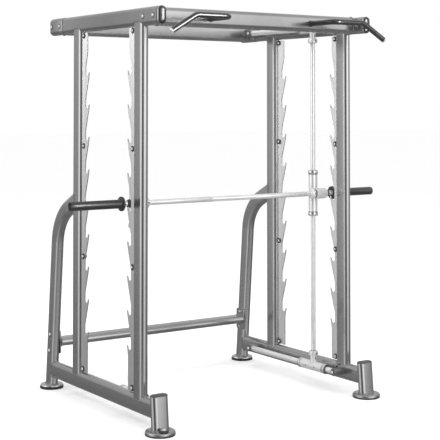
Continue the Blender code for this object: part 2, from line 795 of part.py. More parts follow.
def pullup_handle(side, out):
    """A leg forward from the front beam, a straight grip outward, then one outward and down."""
    root = Vector((GRIP_X * out, FRONT_BEAM_Y - END_R - GAP, GRIP_Z))
    corner = Vector((GRIP_X * out, GRIP_Y, GRIP_Z))
    elbow = Vector((GRIP_BEND_X * out, GRIP_Y, GRIP_Z))
    tip = Vector((GRIP_END_X * out, GRIP_Y, GRIP_END_Z))
    end_dir = (tip - elbow).normalized()
    stations = [(root, (corner - root).normalized())]
    stations += bend_stations(root, corner, elbow, CORNER_BEND_R, CORNER_STEPS)
    stations += bend_stations(corner, elbow, tip, ELBOW_BEND_R, ELBOW_STEPS)
    stations.append((tip, end_dir))
    rings = sweep_rings(stations, GRIP_R) + sweep_rings(stations, GRIP_R - GRIP_WALL)[::-1]
    finish(f"{side}_pullup_handle", loft(rings, closed=True), GRIP, root)
    cap = lathe(HANDLE_CAP, tip, end_dir, HANDLE_FACETS)
    finish(f"{side}_handle_end_cap", cap, CHROME, tip)


# ---------------------------------------------------------------- cross members
def end_plate_outline(half_y, half_z):
    """Rectangle with rounded corners."""
    outline = []
    for turn, (sign_y, sign_z) in enumerate(((1, 1), (-1, 1), (-1, -1), (1, -1))):
        for k in range(3):
            angle = math.pi / 2 * (turn + k / 2)
            outline.append((
                sign_y * (half_y - PLATE_CORNER_R) + PLATE_CORNER_R * math.cos(angle),
                sign_z * (half_z - PLATE_CORNER_R) + PLATE_CORNER_R * math.sin(angle),
            ))
    return outline


def cross_member(name, y, z, long_dir, bolts_at, plate_size):
    """A flat-oval tube across the machine with an end plate and two long bolts at each end."""
    long_dir = Vector(long_dir)
    short_dir = Vector((1, 0, 0)).cross(long_dir)

    def bar(radius, half):
        rings = [
            [
                Vector((x, y, z)) + long_dir * along + short_dir * across
                for along, across in stadium(radius)
            ]
            for x in (-half, half)
        ]
        return loft(rings)

    face = X_INNER - GAP  # outer face of the end plates
    grip = TUBE_T + PLATE_T + 2 * GAP - BOLT_SINK
    outline = end_plate_outline(*plate_size)
    adds = []
    for _, out in SIDES:
        low_x = face - PLATE_T if out > 0 else -face
        adds.append(plate(outline, low_x, PLATE_T, y, z))
        for bolt_y, bolt_z in bolts_at:
            # head on the outer face of the side frame, nut behind the end plate
            adds.append(bolt(((X_OUTER + GAP) * out, bolt_y, bolt_z), (-out, 0, 0), grip))
    tube = bar(END_R, face - PLATE_LAP)
    hollow = bar(END_R - WALL, X_INNER + 0.01)
    solid(name, tube, PAINT, (0, y, z), adds=adds, cuts=[hollow])


def top_beam(end, y):
    bolts_at = [(y - BEAM_BOLT, Z_TOP), (y + BEAM_BOLT, Z_TOP)]
    cross_member(f"{end}_top_beam", y, Z_TOP, (0, 0, 1), bolts_at, BEAM_PLATE)


def low_crossbar():
    bolts_at = [(brace_y(z), z) for z in (CROSS_Z - CROSS_BOLT, CROSS_Z + CROSS_BOLT)]
    cross_member("low_crossbar", brace_y(CROSS_Z), CROSS_Z, (0, 1, 0), bolts_at, CROSS_PLATE)


# ---------------------------------------------------------------- build
for side, out in SIDES:
    base_rail(side, out)
    foot_post(side, out)
    foot_post_cap(side, out)
    foot_discs(side, out)
    for end, back in ENDS:
        upright(side, out, end, back)
        catch_strip(side, out, end, back)
    rear_brace(side, out)
    top_rail(side, out)
    for level, z, up in LEVELS:
        guide_rod(side, out, level, z)
        trolley(side, out, level, z, up)
    upright_rod(side, out)
    bar_carriage(side, out)
    bar_collar(side, out)
    bar_stop(side, out)
    weight_sleeve(side, out)
    pullup_handle(side, out)

top_beam("front", FRONT_BEAM_Y)
top_beam("rear", REAR_BEAM_Y)
low_crossbar()
lifting_bar()
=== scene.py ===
import math

import bmesh
import bpy
from mathutils import Matrix, Vector


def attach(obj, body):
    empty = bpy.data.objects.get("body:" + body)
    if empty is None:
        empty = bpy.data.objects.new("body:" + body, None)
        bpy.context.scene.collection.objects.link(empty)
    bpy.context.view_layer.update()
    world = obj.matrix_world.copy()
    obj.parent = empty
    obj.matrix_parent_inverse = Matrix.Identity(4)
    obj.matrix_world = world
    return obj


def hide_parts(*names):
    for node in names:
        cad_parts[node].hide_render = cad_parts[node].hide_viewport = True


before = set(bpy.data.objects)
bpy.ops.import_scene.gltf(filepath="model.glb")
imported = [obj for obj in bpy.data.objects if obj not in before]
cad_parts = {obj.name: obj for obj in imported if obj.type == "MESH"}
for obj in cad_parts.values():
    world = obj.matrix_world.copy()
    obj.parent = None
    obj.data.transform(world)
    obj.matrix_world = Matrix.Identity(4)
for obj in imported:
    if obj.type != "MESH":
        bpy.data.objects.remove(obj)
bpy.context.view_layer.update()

# ------------------------------------------------------------------ where things are
# Lengths along Y are measured from the midplane of the uprights and moved by Y0 when a piece is made.
Y0 = -0.0339
TUBE_W, TUBE_T = 0.1016, 0.0508
R_T = TUBE_T / 2
S_T = (TUBE_W - TUBE_T) / 2
X_SIDE, Y_UPRIGHT = 0.725, 0.360
Z_BASE, Z_TOP = 0.1195, 2.2345
POST_Y_TOP, POST_Y_BOTTOM, POST_TOP = -0.5505, -0.5655, 0.2005
DISC_FRONT_R, DISC_REAR_R, DISC_T = 0.082, 0.0725, 0.026
BRACE_LEAN, BRACE_Y, BRACE_Z, BRACE_R = 0.0825, 0.652, 0.836, 0.267
BRACE_START, BRACE_ROOT_Z = math.radians(26.5), 1.1566
RAIL_FRONT, CAP_FRONT, RAIL_REAR, CAP_REAR = -0.5580, -0.5900, 0.5450, 0.7180
FRONT_BEAM_Y, REAR_BEAM_Y, BEAM_BOLT = -0.473, 0.634, 0.053
CROSS_Z, CROSS_BOLT = 0.2835, 0.050
PITCH, HOOKS, Z_HOOK, Y_TIP = 0.1905, 9, 1.944, 0.226
STRIP_T, TAB_T, STRIP_BACK = 0.006, 0.008, 0.3088
STRIP_Z = (0.1740, 2.1805)
TAB_Y, TAB_Z = 0.2880, (0.1935, 0.8550, 1.5080, 2.1630)
X_ROD, ROD_R = 0.650, 0.017
Z_ROD_LOW, Z_ROD_HIGH = 0.1210, Z_TOP
Y_BOSS = (-0.368, 0.505)
BAR_R = 0.015
BAR_Y = -(Y_TIP - BAR_R - 0.002)
BAR_Z = Z_HOOK - 4 * PITCH + BAR_R + 0.0025
ROD_Y = BAR_Y + 0.053
UPRIGHT_ROD_R = 0.0145
GRIP_R, GRIP_X, GRIP_BEND_X, GRIP_END_X = 0.016, 0.357, 0.588, 0.744
GRIP_Y, GRIP_Z, GRIP_END_Z, GRIP_BEND_R = -0.7076, 2.2325, 2.1405, 0.050
SIDES = (("left", -1), ("right", 1))
X_AX, Y_AX, Z_AX = Vector((1, 0, 0)), Vector((0, 1, 0)), Vector((0, 0, 1))


def post_y(z):
    return POST_Y_BOTTOM + (POST_Y_TOP - POST_Y_BOTTOM) * (z - DISC_T) / (POST_TOP - DISC_T)


def brace_y(z):
    return BRACE_Y + BRACE_LEAN * (BRACE_Z - z)


def nose(extra, across):
    r = R_T + extra
    return math.sqrt(max(r * r - across * across, 0.0))


# ------------------------------------------------------------------ materials
class Graph:
    """Small helper for writing node trees."""

    def __init__(self, tree):
        self.tree = tree
        tree.nodes.clear()

    def add(self, kind, **values):
        node = self.tree.nodes.new(kind)
        for key, value in values.items():
            if key.startswith("_"):
                setattr(node, key[1:], value)
                continue
            socket = node.inputs[int(key[1:])] if key[0] == "i" and key[1:].isdigit() else node.inputs[key.replace("__", " ")]
            if isinstance(value, bpy.types.NodeSocket):
                self.tree.links.new(value, socket)
            else:
                socket.default_value = value
        return node

    def math(self, op, a, b=0.0, c=0.0, clamp=False):
        node = self.add("ShaderNodeMath", _operation=op, _use_clamp=clamp)
        for i, v in enumerate((a, b, c)):
            if isinstance(v, bpy.types.NodeSocket):
                self.tree.links.new(v, node.inputs[i])
            else:
                node.inputs[i].default_value = v
        return node.outputs[0]

    def ramp(self, fac, stops, smooth=False):
        node = self.tree.nodes.new("ShaderNodeValToRGB")
        ramp = node.color_ramp
        ramp.interpolation = "EASE" if smooth else "LINEAR"
        while len(ramp.elements) < len(stops):
            ramp.elements.new(0.5)
        for element, (at, value) in zip(ramp.elements, stops):
            element.position = at
            element.color = (value, value, value, 1.0) if isinstance(value, (int, float)) else (*value, 1.0)
        self.tree.links.new(fac, node.inputs[0])
        return node.outputs[0]

    def noise(self, vector, scale, detail=3.0, rough=0.55):
        return self.add("ShaderNodeTexNoise", Vector=vector, Scale=scale, Detail=detail, Roughness=rough).outputs["Fac"]

    def mix(self, fac, a, b):
        node = self.tree.nodes.new("ShaderNodeMix")
        node.data_type = "RGBA"
        for i, v in ((0, fac), (6, a), (7, b)):
            if isinstance(v, bpy.types.NodeSocket):
                self.tree.links.new(v, node.inputs[i])
            else:
                node.inputs[i].default_value = v if i == 0 else (*v, 1.0) if len(v) == 3 else v
        return node.outputs[2]


def coords(g, stretch=(1, 1, 1)):
    tex = g.add("ShaderNodeTexCoord")
    mapping = g.add("ShaderNodeMapping", Vector=tex.outputs["Object"])
    mapping.inputs["Scale"].default_value = stretch
    return mapping.outputs[0]


def grey(v, warm=0.0):
    return (v * (1 + warm), v, v * (1 - warm))


def make_material(
    name, low, high, rough, metallic, grain=900.0, bump=0.02, cloud=9.0, stretch=(1, 1, 1), coat=0.0, coat_rough=0.06,
    edge=0.0, specular=0.5, knurl=None, peel=0.0, ior=1.5,
):
    """Base colour drifts between low and high with soft clouds; roughness follows a finer noise; a painted highlight
    lightens the convex edges.
    """
    m = bpy.data.materials.new(name)
    m.use_nodes = True
    g = Graph(m.node_tree)
    at = coords(g, stretch)
    cloud_fac = g.ramp(g.noise(at, cloud, 4.0, 0.6), [(0.32, 0.0), (0.68, 1.0)])
    fine = g.noise(at, grain, 2.0, 0.6)
    colour = g.mix(cloud_fac, low, high)
    speckle = g.ramp(fine, [(0.35, 0.90), (0.65, 1.0)])
    tinted = g.tree.nodes.new("ShaderNodeMix")
    tinted.data_type, tinted.blend_type = "RGBA", "MULTIPLY"
    tinted.inputs[0].default_value = 1.0
    g.tree.links.new(colour, tinted.inputs[6])
    g.tree.links.new(speckle, tinted.inputs[7])
    colour = tinted.outputs[2]
    # painted highlight: convex edges, found by pointiness, are lightened in the base colour
    if edge:
        geo = g.add("ShaderNodeNewGeometry")
        point = g.ramp(geo.outputs["Pointiness"], [(0.505, 0.0), (0.56, 1.0)])
        painted_edge_highlight = g.math("MULTIPLY", point, edge)
        colour = g.mix(painted_edge_highlight, colour, grey(min(1.0, max(high) * 1.5 + 0.05)))
    smudge = g.noise(at, cloud * 3.1, 5.0, 0.65)
    roughness = g.math("ADD", g.math("MULTIPLY", g.math("SUBTRACT", smudge, 0.5), rough * 0.55), rough, clamp=True)
    height = g.math("MULTIPLY", fine, 1.0)
    if peel:
        height = g.math("ADD", height, g.math("MULTIPLY", g.noise(at, 140.0, 2.0), peel))
    bump_node = g.add("ShaderNodeBump", Strength=min(1.0, bump * 10), Distance=0.0002, Height=height)
    normal = bump_node.outputs[0]
    if knurl:
        pitch, depth = knurl
        sep = g.add("ShaderNodeSeparateXYZ", Vector=coords(g))
        angle = g.math("ARCTAN2", sep.outputs["Z"], sep.outputs["Y"])
        a = g.math("MULTIPLY", sep.outputs["X"], 2 * math.pi / pitch)
        b = g.math("MULTIPLY", angle, 44.0)
        one = g.math("ABSOLUTE", g.math("SINE", g.math("ADD", a, b)))
        two = g.math("ABSOLUTE", g.math("SINE", g.math("SUBTRACT", a, b)))
        normal = g.add("ShaderNodeBump", Strength=depth, Distance=0.0004, Height=g.math("MULTIPLY", one, two), Normal=normal).outputs[0]
    bsdf = g.add(
        "ShaderNodeBsdfPrincipled", Base__Color=colour, Roughness=roughness, Metallic=metallic, Normal=normal, IOR=ior,
        Coat__Weight=coat, Coat__Roughness=coat_rough, Specular__IOR__Level=specular,
    )
    g.add("ShaderNodeOutputMaterial", Surface=bsdf.outputs[0])
    return m


PAINT = make_material("paint_silver_grey", grey(0.405), grey(0.440), 0.17, 0.95, grain=1400, bump=0.014, cloud=5.0, coat=0.12, edge=0.35, peel=0.5)
PAINT_CAP = make_material("paint_cap_silver", grey(0.40), grey(0.44), 0.20, 0.92, grain=1200, bump=0.018, cloud=9.0, coat=0.15, edge=0.5, peel=0.5)
SLEEVE_PAINT = make_material("paint_end_sleeve", grey(0.36), grey(0.40), 0.19, 0.94, grain=1300, bump=0.016, cloud=9.0, coat=0.12, edge=0.5, peel=0.5)
# painted shade: the boss bodies get a darker copy of the frame paint that stands in for the shade on them
BOSS_PAINT_SHADED = make_material("paint_boss_grey", grey(0.27), grey(0.33), 0.34, 0.85, grain=1100, bump=0.03, cloud=12.0, edge=0.4, peel=0.7)
BOSS_DISC = make_material("paint_boss_disc", grey(0.15), grey(0.20), 0.36, 0.70, grain=1000, bump=0.03, cloud=18.0, edge=0.4, peel=0.7)
BEAM_PAINT = make_material("paint_beam_silver", grey(0.405), grey(0.440), 0.25, 0.95, grain=1400, bump=0.014, cloud=5.0, coat=0.08, edge=0.35, peel=0.5)
# painted light: a lighter copy of the cap paint stands in for the light on the tops of the rear foot plates
REAR_PLATE_LIT = make_material("paint_rear_foot_plate", grey(0.50), grey(0.57), 0.24, 0.85, grain=1200, bump=0.018, cloud=9.0, coat=0.2, edge=0.5, peel=0.5)
WELD = make_material("weld_bead_painted", grey(0.33), grey(0.40), 0.30, 0.90, grain=700, bump=0.05, cloud=40.0, peel=1.0)
STRIP = make_material("strip_light_silver", grey(0.145), grey(0.160), 0.34, 0.33, grain=900, bump=0.03, cloud=7.0, stretch=(1, 1, 0.12), edge=0.3)
CHROME = make_material("chrome_plate", grey(0.93), grey(0.97), 0.08, 0.62, grain=500, bump=0.004, cloud=14.0, edge=0.2)
HARD_CHROME = make_material("chrome_ring_polished", grey(0.88), grey(0.94), 0.06, 0.96, grain=500, bump=0.004, cloud=14.0, edge=0.2)
BAR_CHROME = make_material("chrome_bar_knurled", grey(0.86), grey(0.92), 0.17, 0.62, grain=800, bump=0.01, cloud=12.0, knurl=(0.0022, 0.5))
SATIN = make_material("housing_satin_silver", grey(0.86), grey(0.92), 0.22, 0.60, grain=800, bump=0.02, cloud=12.0, stretch=(1, 0.2, 1), edge=0.4)
DRUM = make_material("drum_cast_texture", grey(0.62), grey(0.74), 0.46, 0.25, grain=420, bump=0.10, cloud=60.0, peel=1.5)
ZINC = make_material("bolt_zinc", grey(0.90), grey(0.97), 0.18, 0.75, grain=600, bump=0.01, cloud=60.0, edge=0.3)
DARK_ZINC = make_material("washer_black_oxide", grey(0.012), grey(0.026), 0.34, 0.2, grain=600, bump=0.03, cloud=60.0, edge=0.3)
BLACK = make_material("black_gloss_paint", grey(0.008), grey(0.014), 0.34, 0.0, grain=900, bump=0.01, cloud=10.0, coat=0.6, coat_rough=0.24, edge=0.10, peel=0.5)
# dark plastic for the real plastic parts; the same colour also paints the shadow in the top rail's gaps
DARK = make_material("dark_moulded_plastic", grey(0.018), grey(0.034), 0.42, 0.0, grain=750, bump=0.05, cloud=20.0, edge=0.25)
CAP_DARK = make_material("dark_cap_plastic", grey(0.050), grey(0.085), 0.34, 0.2, grain=750, bump=0.04, cloud=20.0, edge=0.25)
TAB_PAINT = make_material("paint_tab_dark", grey(0.14), grey(0.20), 0.34, 0.6, grain=900, bump=0.03, cloud=20.0, edge=0.4)
RUBBER = make_material("rubber_foot_pad", grey(0.010), grey(0.020), 0.60, 0.0, grain=520, bump=0.10, cloud=30.0, edge=0.2)
GRIP = make_material("grip_black_sleeve", grey(0.008), grey(0.016), 0.24, 0.0, grain=620, bump=0.03, cloud=30.0, coat=0.5, coat_rough=0.16, edge=0.1, peel=0.6)


# ------------------------------------------------------------------ mesh helpers
def finish_mesh(name, bm, mat, smooth=34.0):
    bmesh.ops.recalc_face_normals(bm, faces=bm.faces)
    bmesh.ops.translate(bm, verts=bm.verts, vec=(0, Y0, 0))
    mesh = bpy.data.meshes.new(name)
    bm.to_mesh(mesh)
    bm.free()
    for poly in mesh.polygons:
        poly.use_smooth = True
    mesh.set_sharp_from_angle(angle=math.radians(smooth))
    mesh.materials.append(mat)
    obj = bpy.data.objects.new(name, mesh)
    bpy.context.scene.collection.objects.link(obj)
    return obj


MADE = []


def emit(name, bm, mat, body, slot=None, replaces=(), smooth=34.0, bevel=0.0, segments=2, knurl_axis=False):
    obj = finish_mesh(name, bm, mat, smooth)
    if knurl_axis:
        # the knurl pattern turns about the object's own X axis
        centre = Vector((0, BAR_Y + Y0, BAR_Z))
        obj.data.transform(Matrix.Translation(-centre))
        obj.location = centre
    if bevel:
        mod = obj.modifiers.new("soft_edges", "BEVEL")
        mod.width, mod.segments, mod.limit_method, mod.angle_limit = bevel, segments, "ANGLE", math.radians(38)
        mod.use_clamp_overlap = True
        mod.harden_normals = True
    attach(obj, body)
    if replaces:
        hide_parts(*replaces)
    MADE.append(obj)
    return obj


def loft(rings, closed=False, caps=True):
    bm = bmesh.new()
    rows = [[bm.verts.new(p) for p in ring] for ring in rings]
    n = len(rows[0])
    pairs = list(zip(rows, rows[1:]))
    if closed:
        pairs.append((rows[-1], rows[0]))
    for a, b in pairs:
        for i in range(n):
            j = (i + 1) % n
            bm.faces.new((a[i], a[j], b[j], b[i]))
    if caps and not closed:
        bm.faces.new(list(reversed(rows[0])))
        bm.faces.new(rows[-1])
    bmesh.ops.recalc_face_normals(bm, faces=bm.faces)
    return bm


def join(parts):
    """One bmesh from several."""
    out = bmesh.new()
    for part in parts:
        mesh = bpy.data.meshes.new("joined")
        part.to_mesh(mesh)
        part.free()
        out.from_mesh(mesh)
        bpy.data.meshes.remove(mesh)
    return out


def stadium(s, r, n=20):
    pts = []
    for k in range(n + 1):
        a = -math.pi / 2 + math.pi * k / n
        pts.append((s + r * math.cos(a), r * math.sin(a)))
    for k in range(n + 1):
        a = math.pi / 2 + math.pi * k / n
        pts.append((-s + r * math.cos(a), r * math.sin(a)))
    return pts


def circle(r, n, turn=0.5):
    return [(r * math.cos(2 * math.pi * (k + turn) / n), r * math.sin(2 * math.pi * (k + turn) / n)) for k in range(n)]


def basis(axis):
    axis = Vector(axis).normalized()
    side = axis.orthogonal().normalized()
    return axis, side, axis.cross(side)


def lathe(profile, centre, axis, n=56, bore=False):
    axis, side, up = basis(axis)
    centre = Vector(centre)
    ring = circle(1.0, n)
    return loft([[centre + axis * x + side * c * r + up * s * r for c, s in ring] for x, r in profile], closed=bore)


def rounded(profile, r=0.001, steps=3):
    """Rounds the corners of an (along, radius) profile, apart from its two ends."""
    out = [profile[0]]
    for before, at, after in zip(profile, profile[1:], profile[2:]):
        a, b, c = Vector(before), Vector(at), Vector(after)
        d0, d1 = (a - b), (c - b)
        cut = min(r, d0.length * 0.45, d1.length * 0.45)
        if cut < 1e-6 or d0.length < 1e-9 or d1.length < 1e-9:
            out.append(at)
            continue
        p0, p1 = b + d0.normalized() * cut, b + d1.normalized() * cut
        for k in range(steps + 1):
            t = k / steps
            q = p0 * (1 - t) ** 2 + b * 2 * t * (1 - t) + p1 * t * t
            out.append((q.x, q.y))
    out.append(profile[-1])
    return out


def turned(profile, centre, axis, n=56, r=0.001, bore=False):
    if bore:
        return lathe(profile, centre, axis, n, bore=True)
    return lathe(rounded(profile, r), centre, axis, n)


def rod(p0, p1, r, n=40, chamfer=0.0012):
    p0, p1 = Vector(p0), Vector(p1)
    length = (p1 - p0).length
    return lathe([(0, r - chamfer), (chamfer, r), (length - chamfer, r), (length, r - chamfer)], p0, p1 - p0, n)


def prism(outline, offset, thickness, u_dir, v_dir, origin=(0, 0, 0)):
    u_dir, v_dir, origin = Vector(u_dir), Vector(v_dir), Vector(origin)
    w = u_dir.cross(v_dir)
    return loft([[origin + u_dir * u + v_dir * v + w * (offset + d) for u, v in outline] for d in (0.0, thickness)])


def rounded_box_outline(half_u, half_v, r, n=8):
    pts = []
    for cu, cv, turn in ((half_u - r, half_v - r, 0), (-half_u + r, half_v - r, 1), (-half_u + r, -half_v + r, 2), (half_u - r, -half_v + r, 3)):
        for k in range(n + 1):
            a = math.pi / 2 * (turn + k / n)
            pts.append((cu + r * math.cos(a), cv + r * math.sin(a)))
    return pts


def resample(points, step):
    """Closed polyline resampled to even steps."""
    pts = [Vector(p) for p in points]
    total = sum((pts[(i + 1) % len(pts)] - pts[i]).length for i in range(len(pts)))
    count = max(12, int(total / step))
    out, i, along = [], 0, 0.0
    seg = (pts[1] - pts[0]).length
    for k in range(count):
        target = total * k / count
        while along + seg < target:
            along += seg
            i += 1
            seg = (pts[(i + 1) % len(pts)] - pts[i % len(pts)]).length
        t = 0 if seg < 1e-12 else (target - along) / seg
        out.append(pts[i % len(pts)].lerp(pts[(i + 1) % len(pts)], t))
    return out


def weld(points, r=0.0030, step=0.0022):
    """A rippled bead along a closed curve."""
    path = resample(points, step)
    n = len(path)
    rings = []
    for i, p in enumerate(path):
        tangent = (path[(i + 1) % n] - path[i - 1]).normalized()
        side = tangent.orthogonal().normalized() if i == 0 else (prev_side - tangent * prev_side.dot(tangent)).normalized()
        prev_side = side
        up = tangent.cross(side)
        rr = r * (1.0 + 0.13 * math.sin(i * 2.1) + 0.05 * math.sin(i * 0.37 + 1.0))
        rings.append([p + side * c * rr + up * s * rr for c, s in circle(1.0, 8)])
    return loft(rings, closed=True)


def hex_ring(r, n=24):
    pts = []
    for k in range(n):
        a = 2 * math.pi * (k + 0.5) / n
        local = (a % (math.pi / 3)) - math.pi / 6
        q = r * math.cos(math.pi / 6) / math.cos(local)
        pts.append((q * math.cos(a), q * math.sin(a)))
    return pts


def button_head(centre, axis, r=0.0095, h=0.0060, socket=0.45):
    """A domed bolt head with a hexagonal socket. It stands on `centre` and rises along `axis`."""
    axis, side, up = basis(axis)
    centre = Vector(centre)
    n = 24
    rings = [(x, circle(1.0, n), rad) for x, rad in ((-0.0006, r), (0.0006, r))]
    for k in range(1, 6):
        a = math.pi / 2 * k / 6
        rings.append((0.0006 + (h - 0.0006) * math.sin(a), circle(1.0, n), r * (0.52 + 0.48 * math.cos(a))))
    rings.append((h, circle(1.0, n), r * 0.53))
    rings.append((h, hex_ring(1.0, n), r * socket))
    rings.append((h * 0.40, hex_ring(1.0, n), r * socket * 0.97))
    return loft([[centre + axis * x + side * c * rad + up * s * rad for c, s in ring] for x, ring, rad in rings])


def washer(centre, axis, r=0.0130, bore=0.0052, t=0.0014):
    return lathe([(-0.0004, bore), (-0.0004, r - 0.0003), (0.0, r), (t - 0.0004, r), (t, r - 0.0005), (t, bore)], centre, axis, 32, bore=True)


def hex_nut(centre, axis, across=0.0085, h=0.0075):
    axis, side, up = basis(axis)
    centre = Vector(centre)
    n = 24
    rings = [(0.0, hex_ring(1.0, n), across), (h * 0.9, hex_ring(1.0, n), across), (h, circle(1.0, n), across * 0.86), (h, circle(1.0, n), 0.0050), (h + 0.0030, circle(1.0, n), 0.0048), (h + 0.0036, circle(1.0, n), 0.0040)]
    return loft([[centre + axis * x + side * c * rad + up * s * rad for c, s in ring] for x, ring, rad in rings])


def oval_ring(centre, long_dir, cross_dir, r, s=S_T, n=20, lengths=None, axis=None):
    out = []
    for u, v in stadium(s, r, n):
        p = Vector(centre) + long_dir * u + cross_dir * v
        if lengths:
            p = p + axis * lengths(u, v)
        out.append(p)
    return out


def oval_tube(start, axis, long_dir, at_0, at_1, stations=0):
    """A flat-oval tube seen only from outside: closed at both ends, the ends shaped by at_0 and at_1."""
    start, axis, long_dir = Vector(start), Vector(axis).normalized(), Vector(long_dir).normalized()
    cross = axis.cross(long_dir)

    def ring(r, at, inward=0.0):
        return [start + long_dir * u + cross * v + axis * (at(u, v) + inward) for u, v in stadium(S_T, r)]

    def end_curve(at):
        return [start + long_dir * u + cross * v + axis * at(u, v) for u, v in stadium(S_T, R_T + 0.0012)]

    # the end is a shallow ring so that its cap isn't one warped face
    rings = [ring(0.0005, at_0), ring(R_T * 0.5, at_0), ring(R_T, at_0), ring(R_T, at_1), ring(R_T * 0.5, at_1), ring(0.0005, at_1)]
    return loft(rings), end_curve(at_0), end_curve(at_1)


# ------------------------------------------------------------------ the side frames
for side, sx in SIDES:
    X = X_SIDE * sx
    FR = "frame"
    out = Vector((sx, 0, 0))
    welds = []
    bolt_heads, bolt_washers, nuts = [], [], []

    # base rail
    lean = (POST_Y_TOP - POST_Y_BOTTOM) / (POST_TOP - DISC_T)
    post_half = R_T * math.sqrt(1 + lean * lean)
    brace_cos = 1 / math.sqrt(1 + BRACE_LEAN**2)
    tube, front_curve, rear_curve = oval_tube(
        (X, 0, Z_BASE), Y_AX, Z_AX,
        lambda u, v: post_y(Z_BASE + u) + post_half - 0.0015,
        lambda u, v: brace_y(Z_BASE + u) - (S_T + nose(-0.0008, v)) / brace_cos,
    )
    emit(f"{side}_base_rail_tube", tube, PAINT, FR, "silver_grey_paint", [f"{side}_base_rail"])
    welds += [weld(front_curve, 0.0030), weld(rear_curve, 0.0032)]

    # foot post with its dark cap
    axis = Vector((0, POST_Y_TOP - POST_Y_BOTTOM, POST_TOP - DISC_T)).normalized()
    foot = Vector((X, POST_Y_BOTTOM, DISC_T))
    cross = axis.cross(X_AX)
    tube, foot_curve, _ = oval_tube(
        foot, axis, X_AX, lambda u, v: (-0.0008 - cross.z * v) / axis.z, lambda u, v: (POST_TOP - DISC_T - cross.z * v) / axis.z
    )
    emit(f"{side}_foot_post_tube", tube, PAINT, FR, "silver_grey_paint", [f"{side}_foot_post"])
    welds.append(weld([p + Vector((0, 0, 0.0012)) for p in foot_curve], 0.0034))

    def post_ring(s, r, z):
        return [Vector((X + u, post_y(z) + v, z)) for u, v in stadium(s, r, 20)]

    dome = [post_ring(S_T, R_T - 0.0010, POST_TOP - 0.0005), post_ring(S_T, R_T + 0.0006, POST_TOP + 0.0002), post_ring(S_T, R_T + 0.0008, POST_TOP + 0.0026)]
    for k in range(1, 9):
        a = math.pi / 2 * k / 8
        dome.append(post_ring(S_T * (1 - 0.12 * math.sin(a) ** 2), max((R_T + 0.0008) * math.cos(a) ** 0.8, 0.0004), POST_TOP + 0.0026 + 0.0088 * math.sin(a)))
    emit(f"{side}_foot_post_cap_dome", loft(dome), CAP_DARK, FR, "dark_plastic", [f"{side}_foot_post_cap"], smooth=40)

    # round feet: a steel disc with a rolled edge on a rubber pad
    for where, y, radius, mat, slot in (
        ("front", POST_Y_BOTTOM, DISC_FRONT_R, PAINT_CAP, "silver_grey_paint"),
        # the rear plates take the lighter, painted-light copy of the paint
        ("rear", brace_y(DISC_T), DISC_REAR_R, REAR_PLATE_LIT, "black_gloss"),
    ):
        pad = 0.0060 if where == "front" else 0.0150
        if where == "front":
            profile = [(pad, 0.001), (pad, radius - 0.0025), (pad + 0.001, radius - 0.0006), (pad + 0.003, radius), (DISC_T - 0.0100, radius), (DISC_T - 0.0035, radius - 0.0030), (DISC_T - 0.0008, radius - 0.0085), (DISC_T, radius - 0.015), (DISC_T, 0.001)]
        else:
            profile = [(pad, 0.001), (pad, radius - 0.0030), (pad + 0.0012, radius - 0.0022), (DISC_T - 0.0022, radius - 0.0040), (DISC_T, radius - 0.0100), (DISC_T, 0.001)]
        emit(f"{side}_{where}_foot_plate", turned(profile, (X, y, 0), Z_AX, 72, 0.0022), mat, FR, slot, [f"{side}_{where}_foot_disc"])
        ring = [(0.0, 0.001), (0.0, radius - 0.004), (0.0008, radius - 0.0012), (0.0020, radius - 0.0004), (pad - 0.0004, radius - 0.0004), (pad + 0.0006, radius - 0.0018), (pad + 0.0008, 0.001)]
        emit(f"{side}_{where}_foot_pad", turned(ring, (X, y, 0), Z_AX, 72, 0.0008), RUBBER, FR, "black_grip")
    if side == "left":
        # the anchor in front of the left post: a flat dark knob with a grey top and a bright domed nut
        at_knob = (X - 0.010, POST_Y_BOTTOM - 0.0535, DISC_T - 0.0004)
        knob = [(0, 0.001), (0, 0.0240), (0.0015, 0.0256), (0.0052, 0.0256), (0.0060, 0.0248), (0.0070, 0.0248), (0.0078, 0.0256), (0.0104, 0.0256), (0.0124, 0.0238), (0.0128, 0.0215), (0.0120, 0.0205), (0.0120, 0.001)]
        emit("left_anchor_knob", turned(knob, at_knob, Z_AX, 56, 0.0006), DARK, FR, "dark_plastic")
        plate = [(0.0112, 0.001), (0.0112, 0.0198), (0.0122, 0.0204), (0.0132, 0.0196), (0.0132, 0.001)]
        emit("left_anchor_top_plate", turned(plate, at_knob, Z_AX, 56, 0.0004), PAINT_CAP, FR, "silver_grey_paint")
        nut = [(0.0124, 0.001), (0.0124, 0.0100), (0.0148, 0.0100)]
        nut += [(0.0148 + 0.0040 * math.sin(math.pi / 2 * k / 6), 0.0096 * math.cos(math.pi / 2 * k / 6) + 0.0004) for k in range(1, 7)]
        emit("left_anchor_nut", lathe(nut, at_knob, Z_AX, 40), ZINC, FR, "chrome")

    # uprights with their bolting tabs
    for where, sy in (("front", -1), ("rear", 1)):
        Y = Y_UPRIGHT * sy
        z_low, z_high = Z_BASE + S_T, Z_TOP - S_T
        tube, low_curve, high_curve = oval_tube(
            (X, Y, 0), Z_AX, Y_AX, lambda u, v: z_low + nose(-0.0010, v), lambda u, v: z_high - nose(-0.0010, v)
        )
        inner_edge = Y_UPRIGHT - S_T - R_T + 0.003
        tabs = []
        for z in TAB_Z:
            c = Vector((0, 0))
            tip = TAB_Y - 0.0145
            pts = [(inner_edge, z - 0.0165)]
            for k in range(13):
                a = -math.pi / 2 - math.pi * k / 12
                pts.append((TAB_Y + 0.0145 * math.cos(a), z + 0.0145 * math.sin(a)))
            pts.append((inner_edge, z + 0.0165))
            outline = [(p * sy, q) for p, q in pts]
            tabs.append(prism(outline, X - TAB_T / 2, TAB_T, (0, 1, 0), (0, 0, 1)))
        emit(f"{side}_{where}_upright_tube", tube, PAINT, FR, "silver_grey_paint", [f"{side}_{where}_upright"])
        emit(f"{side}_{where}_upright_tabs", join(tabs), TAB_PAINT, FR, "silver_grey_paint", bevel=0.0006)
        welds += [weld(low_curve, 0.0032), weld(high_curve, 0.0032)]

